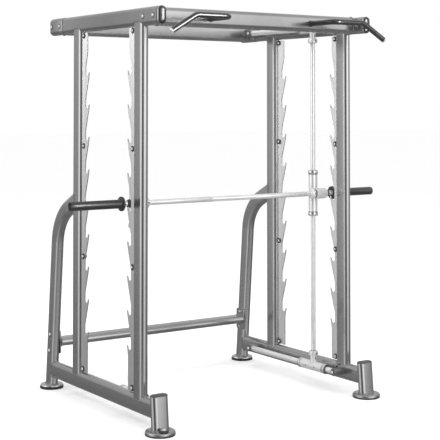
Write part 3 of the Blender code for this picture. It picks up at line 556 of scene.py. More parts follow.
        # sawtooth catch strip
        edge = [(0.021, STRIP_Z[1] - 0.004), (0.021, Z_HOOK + 0.122)]
        for k in range(HOOKS):
            z = Z_HOOK - k * PITCH
            edge += [(0.0375, z + 0.058), (0.0422, z + 0.0400), (0.0438, z + 0.0310)] if k == 0 else [(0.0400, z + 0.0500), (0.0430, z + 0.0400), (0.0440, z + 0.0300)]
            for j in range(15):
                a = math.pi * j / 14
                edge.append((0.027 + 0.017 * math.cos(a), z - 0.008 - 0.017 * math.sin(a)))
            edge += [(0.0058, z - 0.0030), (0.0042, z - 0.0006), (0.0028, z + 0.0002), (0.0012, z - 0.0002), (0.0002, z - 0.0018), (0.0002, z - 0.0050), (0.0070, z - 0.035)]
        edge += [(0.013, Z_HOOK - (HOOKS - 1) * PITCH - 0.060), (0.013, STRIP_Z[0] + 0.004), (0.016, STRIP_Z[0])]
        outline = [((Y_TIP + d) * sy, z) for d, z in edge]
        outline += [(STRIP_BACK * sy, STRIP_Z[0]), (STRIP_BACK * sy, STRIP_Z[1]), ((Y_TIP + 0.025) * sy, STRIP_Z[1])]
        if sy < 0:
            outline = outline[::-1]
        near = X_SIDE + TAB_T / 2 + 0.0002
        low_x = near if sx > 0 else -near - STRIP_T
        emit(
            f"{side}_{where}_strip_plate", prism(outline, low_x, STRIP_T, (0, 1, 0), (0, 0, 1)), STRIP, FR, "light_silver_strip",
            [f"{side}_{where}_catch_strip"], bevel=0.0005,
        )
        # all the heads face the machine's left: outboard on the left side, inboard on the right
        head_face = -(near + STRIP_T) if sx < 0 else X_SIDE - TAB_T / 2
        nut_face = -(X_SIDE - TAB_T / 2) if sx < 0 else near + STRIP_T
        for z in TAB_Z:
            bolt_washers.append(lathe(rounded([(-0.0002, 0.001), (-0.0002, 0.0165), (0.0010, 0.0175), (0.0032, 0.0172), (0.0046, 0.0140), (0.0046, 0.001)], 0.0008), (head_face, TAB_Y * sy, z), -X_AX, 40))
            bolt_heads.append(button_head((head_face - 0.0044, TAB_Y * sy, z), -X_AX, r=0.0085, h=0.0056))
            nuts.append(hex_nut((nut_face, TAB_Y * sy, z), X_AX, across=0.0085, h=0.0062))

    # curved rear brace
    lean_angle = math.pi / 2 - math.atan(BRACE_LEAN)
    a0, a1 = BRACE_START, lean_angle
    y_root = Y_UPRIGHT + S_T + R_T + 0.020
    best = None
    for step in range(2001):
        lead = step * 0.0001
        yc = y_root + lead * math.cos(a0) - BRACE_R * math.sin(a0)
        zc = BRACE_ROOT_Z - lead * math.sin(a0) - BRACE_R * math.cos(a0)
        y_end, z_end = yc + BRACE_R * math.sin(a1), zc + BRACE_R * math.cos(a1)
        miss = abs(y_end - brace_y(z_end))
        if best is None or miss < best[0]:
            best = (miss, lead, yc, zc)
    _, lead, yc, zc = best
    path = []
    BEND = 28
    for k in range(BEND + 1):
        a = a0 + (a1 - a0) * k / BEND
        path.append((Vector((X, yc + BRACE_R * math.sin(a), zc + BRACE_R * math.cos(a))), a))

    def brace_ring(r, point, a, to=None):
        back = Vector((0, math.cos(a), -math.sin(a)))
        normal = Vector((0, math.sin(a), math.cos(a)))
        ring = []
        for u, v in stadium(S_T, r):
            p = point + normal * u + Vector((v, 0, 0))
            if to == "root":
                p = p + back * ((Y_UPRIGHT + S_T + nose(-0.0010, v) - p.y) / back.y)
            if to == "foot":
                p = p + back * ((DISC_T - 0.0008 - p.z) / back.z)
            ring.append(p)
        return ring

    rings = [brace_ring(0.0006, *path[0], "root"), brace_ring(R_T, *path[0], "root")]
    rings += [brace_ring(R_T, p, a) for p, a in path]
    rings += [brace_ring(R_T, *path[-1], "foot"), brace_ring(0.0006, *path[-1], "foot")]
    emit(f"{side}_rear_brace_tube", loft(rings), PAINT, FR, "silver_grey_paint", [f"{side}_rear_brace"])
    welds += [weld(brace_ring(R_T + 0.0012, *path[0], "root"), 0.0034), weld([p + Vector((0, 0, 0.002)) for p in brace_ring(R_T + 0.0012, *path[-1], "foot")], 0.0034)]

    # top rail: plain tube, a rolled front lip with a black plug, and a moulded rear end sleeve
    def cap_ring(s, r, y):
        return [Vector((X + v, y, Z_TOP + u)) for u, v in stadium(s, r, 20)]

    rings = [cap_ring(S_T, 0.0006, RAIL_REAR - 0.002), cap_ring(S_T, R_T, RAIL_REAR - 0.002)]
    rings += [cap_ring(S_T, R_T, y) for y in (0.3, 0.0, -0.3, RAIL_FRONT + 0.0302)]
    rings += [cap_ring(S_T, R_T - 0.0022, RAIL_FRONT + 0.0292), cap_ring(S_T, R_T - 0.0022, RAIL_FRONT + 0.0262), cap_ring(S_T, R_T, RAIL_FRONT + 0.0252), cap_ring(S_T, R_T, RAIL_FRONT), cap_ring(S_T, R_T - 0.0030, RAIL_FRONT), cap_ring(S_T, 0.0006, RAIL_FRONT)]
    emit(f"{side}_top_rail_tube", loft(rings), PAINT, FR, "silver_grey_paint", [f"{side}_top_rail"])
    # painted shadow: a dark ring stands in for the shade in the gap between the tube and the front collar
    front_gap_shadow_ring = [cap_ring(S_T, R_T - 0.006, RAIL_FRONT + 0.002), cap_ring(S_T, R_T - 0.0012, RAIL_FRONT + 0.001), cap_ring(S_T, R_T - 0.0012, RAIL_FRONT - 0.0052), cap_ring(S_T, R_T - 0.006, RAIL_FRONT - 0.006)]
    emit(f"{side}_top_rail_front_seam", loft(front_gap_shadow_ring), DARK, FR, "dark_plastic", smooth=50)
    rings = [cap_ring(S_T, R_T - 0.004, RAIL_FRONT - 0.0040), cap_ring(S_T, R_T - 0.0006, RAIL_FRONT - 0.0044), cap_ring(S_T, R_T, RAIL_FRONT - 0.0052), cap_ring(S_T, R_T, RAIL_FRONT - 0.0190), cap_ring(S_T, R_T - 0.0010, RAIL_FRONT - 0.0204), cap_ring(S_T, R_T - 0.0060, RAIL_FRONT - 0.0206)]
    emit(f"{side}_top_rail_front_collar", loft(rings), PAINT_CAP, FR, "silver_grey_paint", [f"{side}_top_rail_front_cap"], smooth=44)
    depth = CAP_FRONT - (RAIL_FRONT - 0.0200)
    rings = [cap_ring(S_T, R_T - 0.005, RAIL_FRONT - 0.0190), cap_ring(S_T, R_T - 0.0012, RAIL_FRONT - 0.0206)]
    for k in range(1, 11):
        a = math.pi / 2 * k / 10
        rings.append(cap_ring(S_T * (1 - 0.06 * math.sin(a) ** 2), max((R_T - 0.0012) * math.cos(a) ** 0.9, 0.0004), RAIL_FRONT - 0.0206 + (depth - 0.0004) * math.sin(a)))
    emit(f"{side}_top_rail_front_plug", loft(rings), BLACK, FR, "black_gloss", smooth=50)

    # painted shadow: a dark ring stands in for the shade in the recess where the rear sleeve meets the tube
    seam = [cap_ring(S_T, R_T - 0.004, RAIL_REAR - 0.004), cap_ring(S_T, R_T + 0.0008, RAIL_REAR - 0.0034), cap_ring(S_T, R_T + 0.0008, RAIL_REAR + 0.0010), cap_ring(S_T, R_T - 0.004, RAIL_REAR + 0.0014)]
    emit(f"{side}_top_rail_rear_seam", loft(seam), DARK, FR, "dark_plastic", smooth=50)
    rings = [cap_ring(S_T, R_T - 0.003, RAIL_REAR + 0.0), cap_ring(S_T, R_T + 0.0012, RAIL_REAR + 0.0006), cap_ring(S_T, R_T + 0.0020, RAIL_REAR + 0.0024), cap_ring(S_T, R_T + 0.0020, CAP_REAR - 0.016)]
    for k in range(1, 9):
        a = math.pi / 2 * k / 8
        rings.append(cap_ring(S_T, R_T + 0.0020 - 0.0150 * (1 - math.cos(a)), CAP_REAR - 0.016 + 0.0160 * math.sin(a)))
    rings.append(cap_ring(S_T, 0.0006, CAP_REAR + 0.0004))
    emit(f"{side}_top_rail_rear_sleeve", loft(rings), SLEEVE_PAINT, FR, "silver_grey_paint", [f"{side}_top_rail_rear_cap"], smooth=44)

    # bolts through the rail and the brace
    spots = [(y + d, Z_TOP) for y in (FRONT_BEAM_Y, REAR_BEAM_Y) for d in (-BEAM_BOLT, BEAM_BOLT)]
    spots += [(brace_y(CROSS_Z - CROSS_BOLT), CROSS_Z - CROSS_BOLT), (brace_y(CROSS_Z + CROSS_BOLT), CROSS_Z + CROSS_BOLT)]
    for y, z in spots:
        face = (X_SIDE + R_T + (0.0020 if y > RAIL_REAR and z > 2 else 0.0)) * sx
        bolt_washers.append(washer((face, y, z), out, r=0.0145, t=0.0016))
        bolt_heads.append(button_head((face + 0.0014 * sx, y, z), out, r=0.0105, h=0.0064))
        nuts.append(hex_nut(((X_SIDE - R_T - 0.0082) * sx, y, z), -out))

    # horizontal guide rods in their end bosses
    for level, z in (("lower", Z_ROD_LOW), ("upper", Z_ROD_HIGH)):
        emit(f"{side}_{level}_guide_shaft", rod((X_ROD * sx, Y_BOSS[0], z), (X_ROD * sx, Y_BOSS[1], z), ROD_R, 56), CHROME, FR, "chrome", [f"{side}_{level}_guide_rod"])
        for where, y in (("front", Y_BOSS[0]), ("rear", Y_BOSS[1])):
            face = X_SIDE - R_T
            length = face - 0.626
            profile = [(-0.0005, 0.001), (-0.0005, 0.0242), (0.0030, 0.0235), (length - 0.0060, 0.0235), (length - 0.0045, 0.0226), (length - 0.0045, 0.001)]
            # the boss body wears the darker, painted-shade copy of the frame paint
            emit(f"{side}_{level}_{where}_boss_body", turned(profile, (face * sx, y, z), -out, 56, 0.0014), BOSS_PAINT_SHADED, FR, "silver_grey_paint", [f"{side}_{level}_{where}_boss"])
            disc = [(length - 0.0050, 0.001), (length - 0.0050, 0.0200), (length - 0.0012, 0.0205), (length, 0.0190), (length, 0.001)]
            emit(f"{side}_{level}_{where}_boss_disc", turned(disc, (face * sx, y, z), -out, 48, 0.0010), BOSS_DISC, FR, "silver_grey_paint")
            bolt_washers.append(washer(((face - length) * sx, y, z), -out, r=0.0125, t=0.0018))
            bolt_heads.append(button_head(((face - length - 0.0012) * sx, y, z), -out, r=0.0105, h=0.0064))

    # pull-up handle
    root = Vector((GRIP_X * sx, FRONT_BEAM_Y - R_T, GRIP_Z))
    corner = Vector((GRIP_X * sx, GRIP_Y, GRIP_Z))
    elbow = Vector((GRIP_BEND_X * sx, GRIP_Y, GRIP_Z))
    tip = Vector((GRIP_END_X * sx, GRIP_Y, GRIP_END_Z))
    stations = [(root, (corner - root).normalized())]
    for before, at, after, radius, steps in ((root, corner, elbow, GRIP_BEND_R, 14), (corner, elbow, tip, 0.060, 8)):
        d0, d1 = (at - before).normalized(), (after - at).normalized()
        turn = d0.angle(d1)
        cut = radius * math.tan(turn / 2)
        ax = d0.cross(d1).normalized()
        centre = at - d0 * cut + ax.cross(d0) * radius
        arm = (at - d0 * cut) - centre
        for k in range(steps + 1):
            m = Matrix.Rotation(turn * k / steps, 3, ax)
            stations.append((centre + m @ arm, m @ d0))
    d_end = (tip - elbow).normalized()
    stations.append((tip, d_end))

    def sweep(stations, radii, n=28):
        up, last, rings = Vector((0, 0, 1)), None, []
        for (point, d), r in zip(stations, radii):
            if last is not None:
                up = last.rotation_difference(d) @ up
            last = d
            sideways = d.cross(up).normalized()
            up = sideways.cross(d).normalized()
            rings.append([point + sideways * c * r + up * s * r for c, s in circle(1.0, n)])
        return rings

    rings = sweep(stations, [GRIP_R] * len(stations))
    emit(f"{side}_pullup_handle_grip", loft(rings), GRIP, FR, "black_grip", [f"{side}_pullup_handle"])
    emit(f"{side}_pullup_handle_root", turned([(0, 0.001), (0, 0.0190), (0.0030, 0.0190), (0.0045, 0.0172), (0.0090, 0.0168), (0.0090, 0.001)], root, -Y_AX, 40, 0.0010), DARK, FR, "dark_plastic")
    emit(
        f"{side}_pullup_handle_end", turned([(-0.002, 0.001), (-0.002, GRIP_R + 0.0004), (0.0055, GRIP_R + 0.0006), (0.0090, GRIP_R - 0.0035), (0.0098, 0.001)], tip, d_end, 40, 0.0016),
        ZINC, FR, "chrome", [f"{side}_handle_end_cap"],
    )

    emit(f"{side}_frame_welds", join(welds), WELD, FR, "silver_grey_paint", smooth=60)
    emit(f"{side}_frame_bolt_heads", join(bolt_heads), ZINC, FR, "chrome")
    emit(f"{side}_frame_bolt_washers", join(bolt_washers), DARK_ZINC, FR, "dark_plastic")
    emit(f"{side}_frame_nuts", join(nuts), ZINC, FR, "chrome")

    # ---------------------------------------------------------- trolleys and the upright rod
    TR = f"{side}_trolleys"
    xr = X_ROD * sx
    for level, z, up in (("lower", Z_ROD_LOW, 1), ("upper", Z_ROD_HIGH, -1)):
        h = 0.130
        zu = Vector((0, 0, up))
        profile = [(-h + 0.018, 0.0180), (-h + 0.018, 0.0290), (h - 0.018, 0.0290), (h - 0.018, 0.0180)]
        emit(f"{side}_{level}_trolley_housing", lathe(profile, (xr, ROD_Y, z), Y_AX, 64, bore=True), SATIN, TR, "light_silver_housing", [f"{side}_{level}_trolley"])
        ring_parts, seal_parts = [], []
        for sy in (-1, 1):
            yy = ROD_Y + sy * h
            d = Vector((0, -sy, 0))
            ring_parts.append(lathe([(0.0020, 0.0195), (0.0012, 0.0285), (0.0022, 0.0300), (0.0040, 0.0308), (0.0180, 0.0308), (0.0200, 0.0300), (0.0210, 0.0280), (0.0210, 0.0195)], (xr, yy, z), d, 64, bore=True))
            seal_parts.append(lathe([(0.0000, 0.0178), (-0.0002, 0.0215), (0.0006, 0.0250), (0.0030, 0.0262), (0.0030, 0.0178)], (xr, yy, z), d, 64, bore=True))
            seal_parts.append(lathe([(0.0212, 0.0270), (0.0212, 0.0294), (0.0230, 0.0298), (0.0248, 0.0294), (0.0248, 0.0270)], (xr, yy, z), d, 64, bore=True))
        emit(f"{side}_{level}_trolley_rings", join(ring_parts), HARD_CHROME, TR, "chrome")
        emit(f"{side}_{level}_trolley_seals", join(seal_parts), DARK, TR, "dark_plastic")
        hub = [(0.020, 0.001), (0.020, 0.0225), (0.0330, 0.0225), (0.0350, 0.0195), (0.0670, 0.0190), (0.0680, 0.001)]
        emit(f"{side}_{level}_hub_neck", turned(hub, (xr, ROD_Y, z), zu, 56, 0.0015), SATIN, TR, "light_silver_housing")
        collar = [(0.0665, 0.001), (0.0665, 0.0270), (0.0690, 0.0296), (0.0900, 0.0296), (0.0935, 0.0268), (0.0940, 0.0185), (0.0925, 0.0160), (0.0925, 0.001)]
        emit(f"{side}_{level}_hub_collar", turned(collar, (xr, ROD_Y, z), zu, 64, 0.0014), SATIN, TR, "light_silver_housing")
        emit(f"{side}_{level}_hub_seal", lathe([(0.0925, 0.0147), (0.0925, 0.0182), (0.0950, 0.0176), (0.0955, 0.0147)], (xr, ROD_Y, z), zu, 48, bore=True), DARK, TR, "dark_plastic")
        heads = [button_head((xr + sx * 0.0 , ROD_Y - 0.0292, z + up * 0.0800), -Y_AX, r=0.0048, h=0.0030), button_head((xr, ROD_Y - 0.0188, z + up * 0.0500), -Y_AX, r=0.0042, h=0.0028)]
        heads.append(button_head((xr - sx * 0.0287, ROD_Y + 0.040, z), -out, r=0.0042, h=0.0022))
        heads.append(button_head((xr - sx * 0.0287, ROD_Y - 0.040, z), -out, r=0.0042, h=0.0022))
        emit(f"{side}_{level}_trolley_screws", join(heads), DARK_ZINC, TR, "dark_plastic")
    emit(f"{side}_upright_shaft", rod((xr, ROD_Y, Z_ROD_LOW + 0.06), (xr, ROD_Y, Z_ROD_HIGH - 0.06), UPRIGHT_ROD_R, 56), CHROME, TR, "chrome", [f"{side}_upright_rod"])

    # ---------------------------------------------------------- bar carriage
    CA = f"{side}_carriage"
    h = 0.143
    emit(
        f"{side}_carriage_sleeve", lathe([(-h + 0.020, 0.0152), (-h + 0.020, 0.0275), (h - 0.020, 0.0275), (h - 0.020, 0.0152)], (xr, ROD_Y, BAR_Z), Z_AX, 64, bore=True),
        SATIN, CA, "light_silver_housing", [f"{side}_bar_carriage"],
    )
    rings_p, seals_p = [], []
    for s in (-1, 1):
        d = Vector((0, 0, -s))
        c = (xr, ROD_Y, BAR_Z + s * h)
        rings_p.append(lathe([(0.0016, 0.0175), (0.0010, 0.0275), (0.0022, 0.0300), (0.0042, 0.0309), (0.0205, 0.0309), (0.0225, 0.0300), (0.0232, 0.0278), (0.0232, 0.0175)], c, d, 64, bore=True))
        seals_p.append(lathe([(0.0000, 0.0150), (-0.0002, 0.0180), (0.0006, 0.0215), (0.0030, 0.0228), (0.0030, 0.0150)], c, d, 64, bore=True))
        seals_p.append(lathe([(0.0236, 0.0262), (0.0236, 0.0282), (0.0252, 0.0288), (0.0268, 0.0282), (0.0268, 0.0262)], c, d, 64, bore=True))
    emit(f"{side}_carriage_rings", join(rings_p), HARD_CHROME, CA, "chrome")
    emit(f"{side}_carriage_seals", join(seals_p), DARK, CA, "dark_plastic")
    a, b = 0.621, 0.708
    profile = [(a, 0.0156), (a, 0.0280), (a + 0.0035, 0.0322), (a + 0.0080, 0.0330), (b - 0.0220, 0.0330)]
    for k in range(1, 8):
        t = math.pi / 2 * k / 7
        profile.append((b - 0.0220 + 0.0220 * math.sin(t), 0.0330 - 0.0090 * (1 - math.cos(t))))
    profile.append((b, 0.0156))
    emit(f"{side}_carriage_drum", lathe(profile, (0, BAR_Y, BAR_Z), out, 64, bore=True), DRUM, CA, "light_silver_housing")
    # a saddle that ties the drum to the sleeve behind it
    saddle = prism(rounded_box_outline(0.0235, 0.0270, 0.008), -0.040, 0.034, (1, 0, 0), (0, 0, 1), (xr, BAR_Y, BAR_Z))
    emit(f"{side}_carriage_saddle", saddle, DRUM, CA, "light_silver_housing", bevel=0.0015, segments=3)

    # ---------------------------------------------------------- what is fixed to the bar, and the weight sleeve
    a, b = 0.592, 0.612
    emit(
        f"{side}_bar_clamp_collar", lathe([(a, 0.0150), (a, 0.0270), (a + 0.0018, 0.0302), (a + 0.0035, 0.0310), (b - 0.0035, 0.0310), (b - 0.0018, 0.0302), (b, 0.0270), (b, 0.0150)], (0, BAR_Y, BAR_Z), out, 64, bore=True),
        SATIN, "bar", "chrome", [f"{side}_bar_collar"],
    )
    emit(f"{side}_bar_black_ring", lathe([(b + 0.0002, 0.0150), (b + 0.0002, 0.0285), (b + 0.0015, 0.0295), (b + 0.0070, 0.0295), (b + 0.0084, 0.0285), (b + 0.0084, 0.0150)], (0, BAR_Y, BAR_Z), out, 56, bore=True), DARK, "bar", "dark_plastic")
    emit(f"{side}_bar_collar_screw", button_head((a * sx + 0.010 * sx, BAR_Y - 0.0306, BAR_Z + 0.002), -Y_AX, r=0.0044, h=0.0022), DARK_ZINC, "bar", "dark_plastic")
    a, b = 0.7088, 0.7275
    emit(
        f"{side}_bar_taper_stop", lathe([(a, 0.0150), (a, 0.0238), (a + 0.0012, 0.0245), (a + 0.0040, 0.0240), (b - 0.0050, 0.0190), (b - 0.0012, 0.0178), (b, 0.0168), (b, 0.0150)], (0, BAR_Y, BAR_Z), out, 56, bore=True),
        DARK, "bar", "dark_plastic", [f"{side}_bar_stop"],
    )
    SL = f"{side}_sleeve"
    a, b = 0.7555, 1.082
    c = a + 0.012
    profile = [
        (a, 0.0152), (a, 0.0370), (a + 0.0008, 0.0398), (a + 0.0022, 0.0409), (a + 0.0040, 0.0409), (a + 0.0050, 0.0396), (a + 0.0070, 0.0396), (a + 0.0080, 0.0409), (c - 0.0022, 0.0409), (c - 0.0008, 0.0398),
        (c, 0.0370), (c, 0.0285), (c + 0.0015, 0.0262), (c + 0.0040, 0.0250), (b - 0.0300, 0.0250), (b - 0.0290, 0.0243), (b - 0.0270, 0.0243), (b - 0.0260, 0.0250), (b - 0.0025, 0.0250), (b - 0.0006, 0.0240),
        (b, 0.0222), (b, 0.0192), (b - 0.0012, 0.0185), (b - 0.0130, 0.0185), (b - 0.0140, 0.0175), (b - 0.0140, 0.0152),
    ]
    emit(f"{side}_weight_sleeve_body", lathe(profile, (0, BAR_Y, BAR_Z), out, 72, bore=True), BLACK, SL, "black_gloss", [f"{side}_weight_sleeve"])
    snap = lathe([(b - 0.0138, 0.0152), (b - 0.0138, 0.0182), (b - 0.0118, 0.0182), (b - 0.0118, 0.0152)], (0, BAR_Y, BAR_Z), out, 48, bore=True)
    emit(f"{side}_weight_sleeve_snap_ring", snap, DARK_ZINC, SL, "dark_plastic")


# ------------------------------------------------------------------ cross members
def cross_member(name, y, z, long_dir, plate_u, plate_v, node, groove=True):
    long_dir = Vector(long_dir)
    other = X_AX.cross(long_dir)
    inside = X_SIDE - R_T - 0.0002
    rings = []
    for x, r in ((-inside + 0.004, 0.0006), (-inside + 0.004, R_T), (-0.35, R_T), (0.0, R_T), (0.35, R_T), (inside - 0.004, R_T), (inside - 0.004, 0.0006)):
        rings.append([Vector((x, y, z)) + long_dir * u + other * v for u, v in stadium(S_T, r)])
    emit(f"{name}_tube", loft(rings), BEAM_PAINT, "frame", "silver_grey_paint", [node])
    plates, beads = [], []
    for sx in (-1, 1):
        low = inside - 0.008 if sx > 0 else -inside
        plates.append(prism(rounded_box_outline(plate_u, plate_v, 0.014), low, 0.008, (0, 1, 0), (0, 0, 1), (0, y, z)))
        beads.append(weld([Vector(((inside - 0.0085) * sx, y, z)) + long_dir * u + other * v for u, v in stadium(S_T, R_T + 0.0012)], 0.0034))
    emit(f"{name}_end_plates", join(plates), PAINT, "frame", "silver_grey_paint", bevel=0.0009, segments=3)
    emit(f"{name}_end_welds", join(beads), WELD, "frame", "silver_grey_paint", smooth=60)


cross_member("front_beam", FRONT_BEAM_Y, Z_TOP, (0, 0, 1), 0.067, 0.0415, "front_top_beam")
cross_member("rear_beam", REAR_BEAM_Y, Z_TOP, (0, 0, 1), 0.067, 0.0415, "rear_top_beam")
cross_member("low_bar", brace_y(CROSS_Z), CROSS_Z, (0, 1, 0), 0.0400, 0.0700, "low_crossbar")

# ------------------------------------------------------------------ the lifting bar
# smooth in the middle and at the ends, knurled where the hands go
BAR_END = 1.066
shaft = rod((-BAR_END, BAR_Y, BAR_Z), (BAR_END, BAR_Y, BAR_Z), BAR_R - 0.00035, 48)
emit("lifting_bar_shaft", shaft, CHROME, "bar", "chrome", ["lifting_bar"])
zones = []
for low, high in ((-0.560, -0.155), (0.155, 0.560)):
    length = high - low
    zones.append(lathe([(0, BAR_R - 0.0006), (0.0010, BAR_R), (length - 0.0010, BAR_R), (length, BAR_R - 0.0006)], (low, BAR_Y, BAR_Z), X_AX, 48))
emit("lifting_bar_knurled_zones", join(zones), BAR_CHROME, "bar", "chrome", knurl_axis=True)

# ------------------------------------------------------------------ floor
floor_bm = bmesh.new()
size = 60.0
corners = [floor_bm.verts.new((x, y, 0.0)) for x, y in ((-size, -size), (size, -size), (size, size), (-size, size))]
floor_bm.faces.new(corners)
floor_mesh = bpy.data.meshes.new("studio_floor")
floor_bm.to_mesh(floor_mesh)
floor_bm.free()
floor = bpy.data.objects.new("studio_floor", floor_mesh)
bpy.context.scene.collection.objects.link(floor)
floor.location = (0, 0, -0.0005)
floor_mat = bpy.data.materials.new("floor_pale")
floor_mat.use_nodes = True
g = Graph(floor_mat.node_tree)
path = g.add("ShaderNodeLightPath")
noise = g.noise(coords(g), 1.2, 4.0)
pale = g.mix(noise, grey(0.87), grey(0.89))
diffuse = g.add("ShaderNodeBsdfPrincipled", Base__Color=pale, Roughness=0.85, Specular__IOR__Level=0.2)
lift = g.add("ShaderNodeEmission", Color=(1.0, 1.0, 1.0, 1.0), Strength=g.math("MULTIPLY", path.outputs["Is Camera Ray"], 0.16))
both = g.add("ShaderNodeAddShader", i0=diffuse.outputs[0], i1=lift.outputs[0])
g.add("ShaderNodeOutputMaterial", Surface=both.outputs[0])
floor_mesh.materials.append(floor_mat)
floor.visible_glossy = False

# ------------------------------------------------------------------ studio
world = bpy.data.worlds.new("studio")
bpy.context.scene.world = world
world.use_nodes = True
g = Graph(world.node_tree)
tex = g.add("ShaderNodeTexCoord")
sep = g.add("ShaderNodeSeparateXYZ", Vector=tex.outputs["Generated"])
x, y, z = sep.outputs
# azimuth, measured from the front (-Y) towards the machine's left (-X): -180 to 180 degrees
azimuth = g.math("DIVIDE", g.math("ARCTAN2", g.math("MULTIPLY", x, -1.0), g.math("MULTIPLY", y, -1.0)), 2 * math.pi)
turn = g.math("ADD", azimuth, 0.5)


def at(deg):
    return (deg + 180.0) / 360.0


GAIN = 2.5
# low down on the right the bright panel ends sooner, so the lookup is turned a little below the horizon
right_side = g.ramp(turn, [(at(-100), 0.0), (at(-80), 1.0), (at(-12), 1.0), (at(2), 0.0)])
below = g.math("MINIMUM", z, 0.0)
turn = g.math("ADD", turn, g.math("MULTIPLY", g.math("MULTIPLY", g.math("MAXIMUM", below, -0.12), 115.0 / 360.0), right_side))
around = [
    (-180, 0.50), (-150, 0.55), (-125, 0.50), (-95, 0.42), (-75, 0.34), (-58, 0.34), (-48, 0.60), (-42, 1.10), (-34, 1.25), (-24, 1.62), (-13, 2.12), (-5, 2.05), (1, 1.60),
    (14, 1.18), (29, 0.42), (37, 0.08), (60, 0.06), (70, 0.36), (83, 1.15), (96, 1.72), (110, 1.72), (121, 1.05), (132, 0.72), (146, 0.47), (158, 0.42), (180, 0.50),
]
level = g.ramp(turn, [(at(d), v / GAIN) for d, v in around])
filled = [(d, v) for d, v in around if not 10 < d < 80]
filled = sorted(filled + [(14, 1.25), (30, 1.05), (66, 1.00)])
steady = g.ramp(turn, [(at(d), v / GAIN) for d, v in filled])
steep = g.ramp(g.math("MULTIPLY", z, -1.0), [(0.205, 0.0), (0.265, 1.0)])
level = g.mix(steep, level, steady)
level = g.math("MULTIPLY", level, GAIN)
height = g.ramp(g.math("ADD", g.math("MULTIPLY", z, 0.5), 0.5), [(0.0, 0.38), (0.25, 0.40), (0.375, 0.43), (0.415, 0.57), (0.455, 0.80), (0.50, 0.98), (0.54, 1.06), (0.66, 1.05), (1.0, 1.0)])
high = g.ramp(z, [(0.30, 0.0), (0.62, 1.0)])
low = g.ramp(g.math("MULTIPLY", z, -1.0), [(0.35, 0.0), (0.75, 1.0)])
banded = g.math("MULTIPLY", level, height)
glossy = g.math("ADD", g.math("MULTIPLY", banded, g.math("SUBTRACT", 1.0, high)), g.math("MULTIPLY", high, 0.62))
glossy = g.math("ADD", g.math("MULTIPLY", glossy, g.math("SUBTRACT", 1.0, low)), g.math("MULTIPLY", low, 0.24))
path = g.add("ShaderNodeLightPath")
glossy_bg = g.add("ShaderNodeBackground", Color=glossy, Strength=1.0)
diffuse_bg = g.add("ShaderNodeBackground", Color=(1.0, 1.0, 1.0, 1.0), Strength=0.95)
camera_bg = g.add("ShaderNodeBackground", Color=(1.0, 1.0, 1.0, 1.0), Strength=1.0)
first = g.add("ShaderNodeMixShader", Fac=path.outputs["Is Glossy Ray"], i1=diffuse_bg.outputs[0], i2=glossy_bg.outputs[0])
second = g.add("ShaderNodeMixShader", Fac=path.outputs["Is Camera Ray"], i1=first.outputs[0], i2=camera_bg.outputs[0])
g.add("ShaderNodeOutputWorld", Surface=second.outputs[0])


def soft_light(name, location, target, size, power):
    light = bpy.data.lights.new(name, "AREA")
    light.shape, light.size, light.size_y, light.energy = "RECTANGLE", size[0], size[1], power
    obj = bpy.data.objects.new(name, light)
    bpy.context.scene.collection.objects.link(obj)
    obj.location = location
    obj.rotation_euler = (Vector(target) - Vector(location)).to_track_quat("-Z", "Y").to_euler()
    obj.visible_glossy = False
    return obj


soft_light("key_softbox", (-4.5, -5.5, 5.5), (0, 0, 1.0), (3.5, 3.5), 180.0)
soft_light("fill_softbox", (5.0, -4.0, 4.5), (0, 0, 1.0), (3.5, 3.5), 70.0)
soft_light("top_softbox", (0.0, 0.5, 6.0), (0, 0, 0), (4.0, 4.0), 110.0)

# a tall softbox that only the black pieces reflect, which draws the long highlight along their tubes
black_pieces = bpy.data.collections.new("black_pieces")
for obj in MADE:
    if obj.data.materials and obj.data.materials[0] in (BLACK, GRIP) and not obj.name.startswith("left_weight_sleeve"):
        black_pieces.objects.link(obj)
gloss = bpy.data.lights.new("gloss_softbox", "AREA")
gloss.shape, gloss.size, gloss.size_y, gloss.energy = "RECTANGLE", 1.5, 2.6, 300.0
gloss_box = bpy.data.objects.new("gloss_softbox", gloss)
bpy.context.scene.collection.objects.link(gloss_box)
gloss_box.location = (1.6, -4.4, 2.55)
gloss_box.rotation_euler = (Vector((-0.6, -0.3, 1.7)) - gloss_box.location).to_track_quat("-Z", "Y").to_euler()
gloss_box.light_linking.receiver_collection = black_pieces

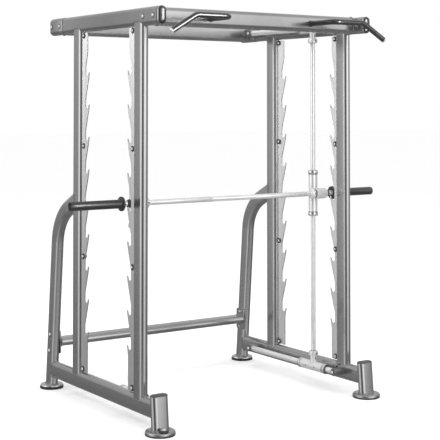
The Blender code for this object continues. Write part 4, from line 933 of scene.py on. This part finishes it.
# the left weight sleeve's highlight runs its whole length, so its softbox isn't cut off by the front upright
left_sleeve = bpy.data.collections.new("left_sleeve")
for obj in MADE:
    if obj.name.startswith("left_weight_sleeve"):
        left_sleeve.objects.link(obj)
sleeve_box = soft_light("sleeve_softbox", (2.05, -4.4, 2.35), (-0.6, -0.3, 1.5), (1.7, 2.3), 330.0)
sleeve_box.visible_glossy = True
sleeve_box.data.use_shadow = False
sleeve_box.visible_camera = False
sleeve_box.light_linking.receiver_collection = left_sleeve

# the pale plated strips are brightest at the top and fall off towards the floor: one lamp outside and one inside each pair
for side, sx in SIDES:
    strips = bpy.data.collections.new(f"{side}_strips")
    for obj in MADE:
        if obj.name.startswith(side) and obj.name.endswith("_strip_plate"):
            strips.objects.link(obj)
    for where, at_x, at_z, power in (("outer", 2.20 * sx, 2.80, 195.0), ("inner", -1.97 * sx, 2.40, 370.0)):
        lamp = soft_light(f"{side}_strip_lamp_{where}", (at_x, 0.0, at_z), (X_SIDE * sx, 0.0, 1.4), (0.7, 0.7), power)
        lamp.data.use_shadow = False
        lamp.visible_camera = False
        lamp.light_linking.receiver_collection = strips

# ------------------------------------------------------------------ camera
CAM_AT = Vector((-4.0410, -5.9607 + Y0, 1.7450))
camera_data = bpy.data.cameras.new("photo_camera")
camera = bpy.data.objects.new("photo_camera", camera_data)
bpy.context.scene.collection.objects.link(camera)
camera.location = CAM_AT
camera.rotation_euler = (math.radians(91.675), 0.0, math.radians(-34.4435))
camera_data.sensor_width = 36.0
camera_data.lens = 96.605
camera_data.clip_start, camera_data.clip_end = 0.1, 200.0
camera_data.shift_x = 0.0003
camera_data.shift_y = -0.3376
# the lens shift belongs to the photograph's viewpoint, so it is dropped when the camera is moved elsewhere
curve = camera_data.driver_add("shift_y")
curve.driver.type = "SCRIPTED"
for name, index, home in (("px", 0, CAM_AT.x), ("py", 1, CAM_AT.y)):
    var = curve.driver.variables.new()
    var.name, var.type = name, "SINGLE_PROP"
    var.targets[0].id = camera
    var.targets[0].data_path = f"location[{index}]"
curve.driver.expression = f"-0.3376 if (px - {CAM_AT.x:.5f}) ** 2 + (py - {CAM_AT.y:.5f}) ** 2 < 0.0001 else 0.0"
bpy.context.scene.camera = camera
bpy.context.scene.view_settings.view_transform = "Standard"
bpy.context.scene.view_settings.look = "None"

bpy.context.view_layer.update()
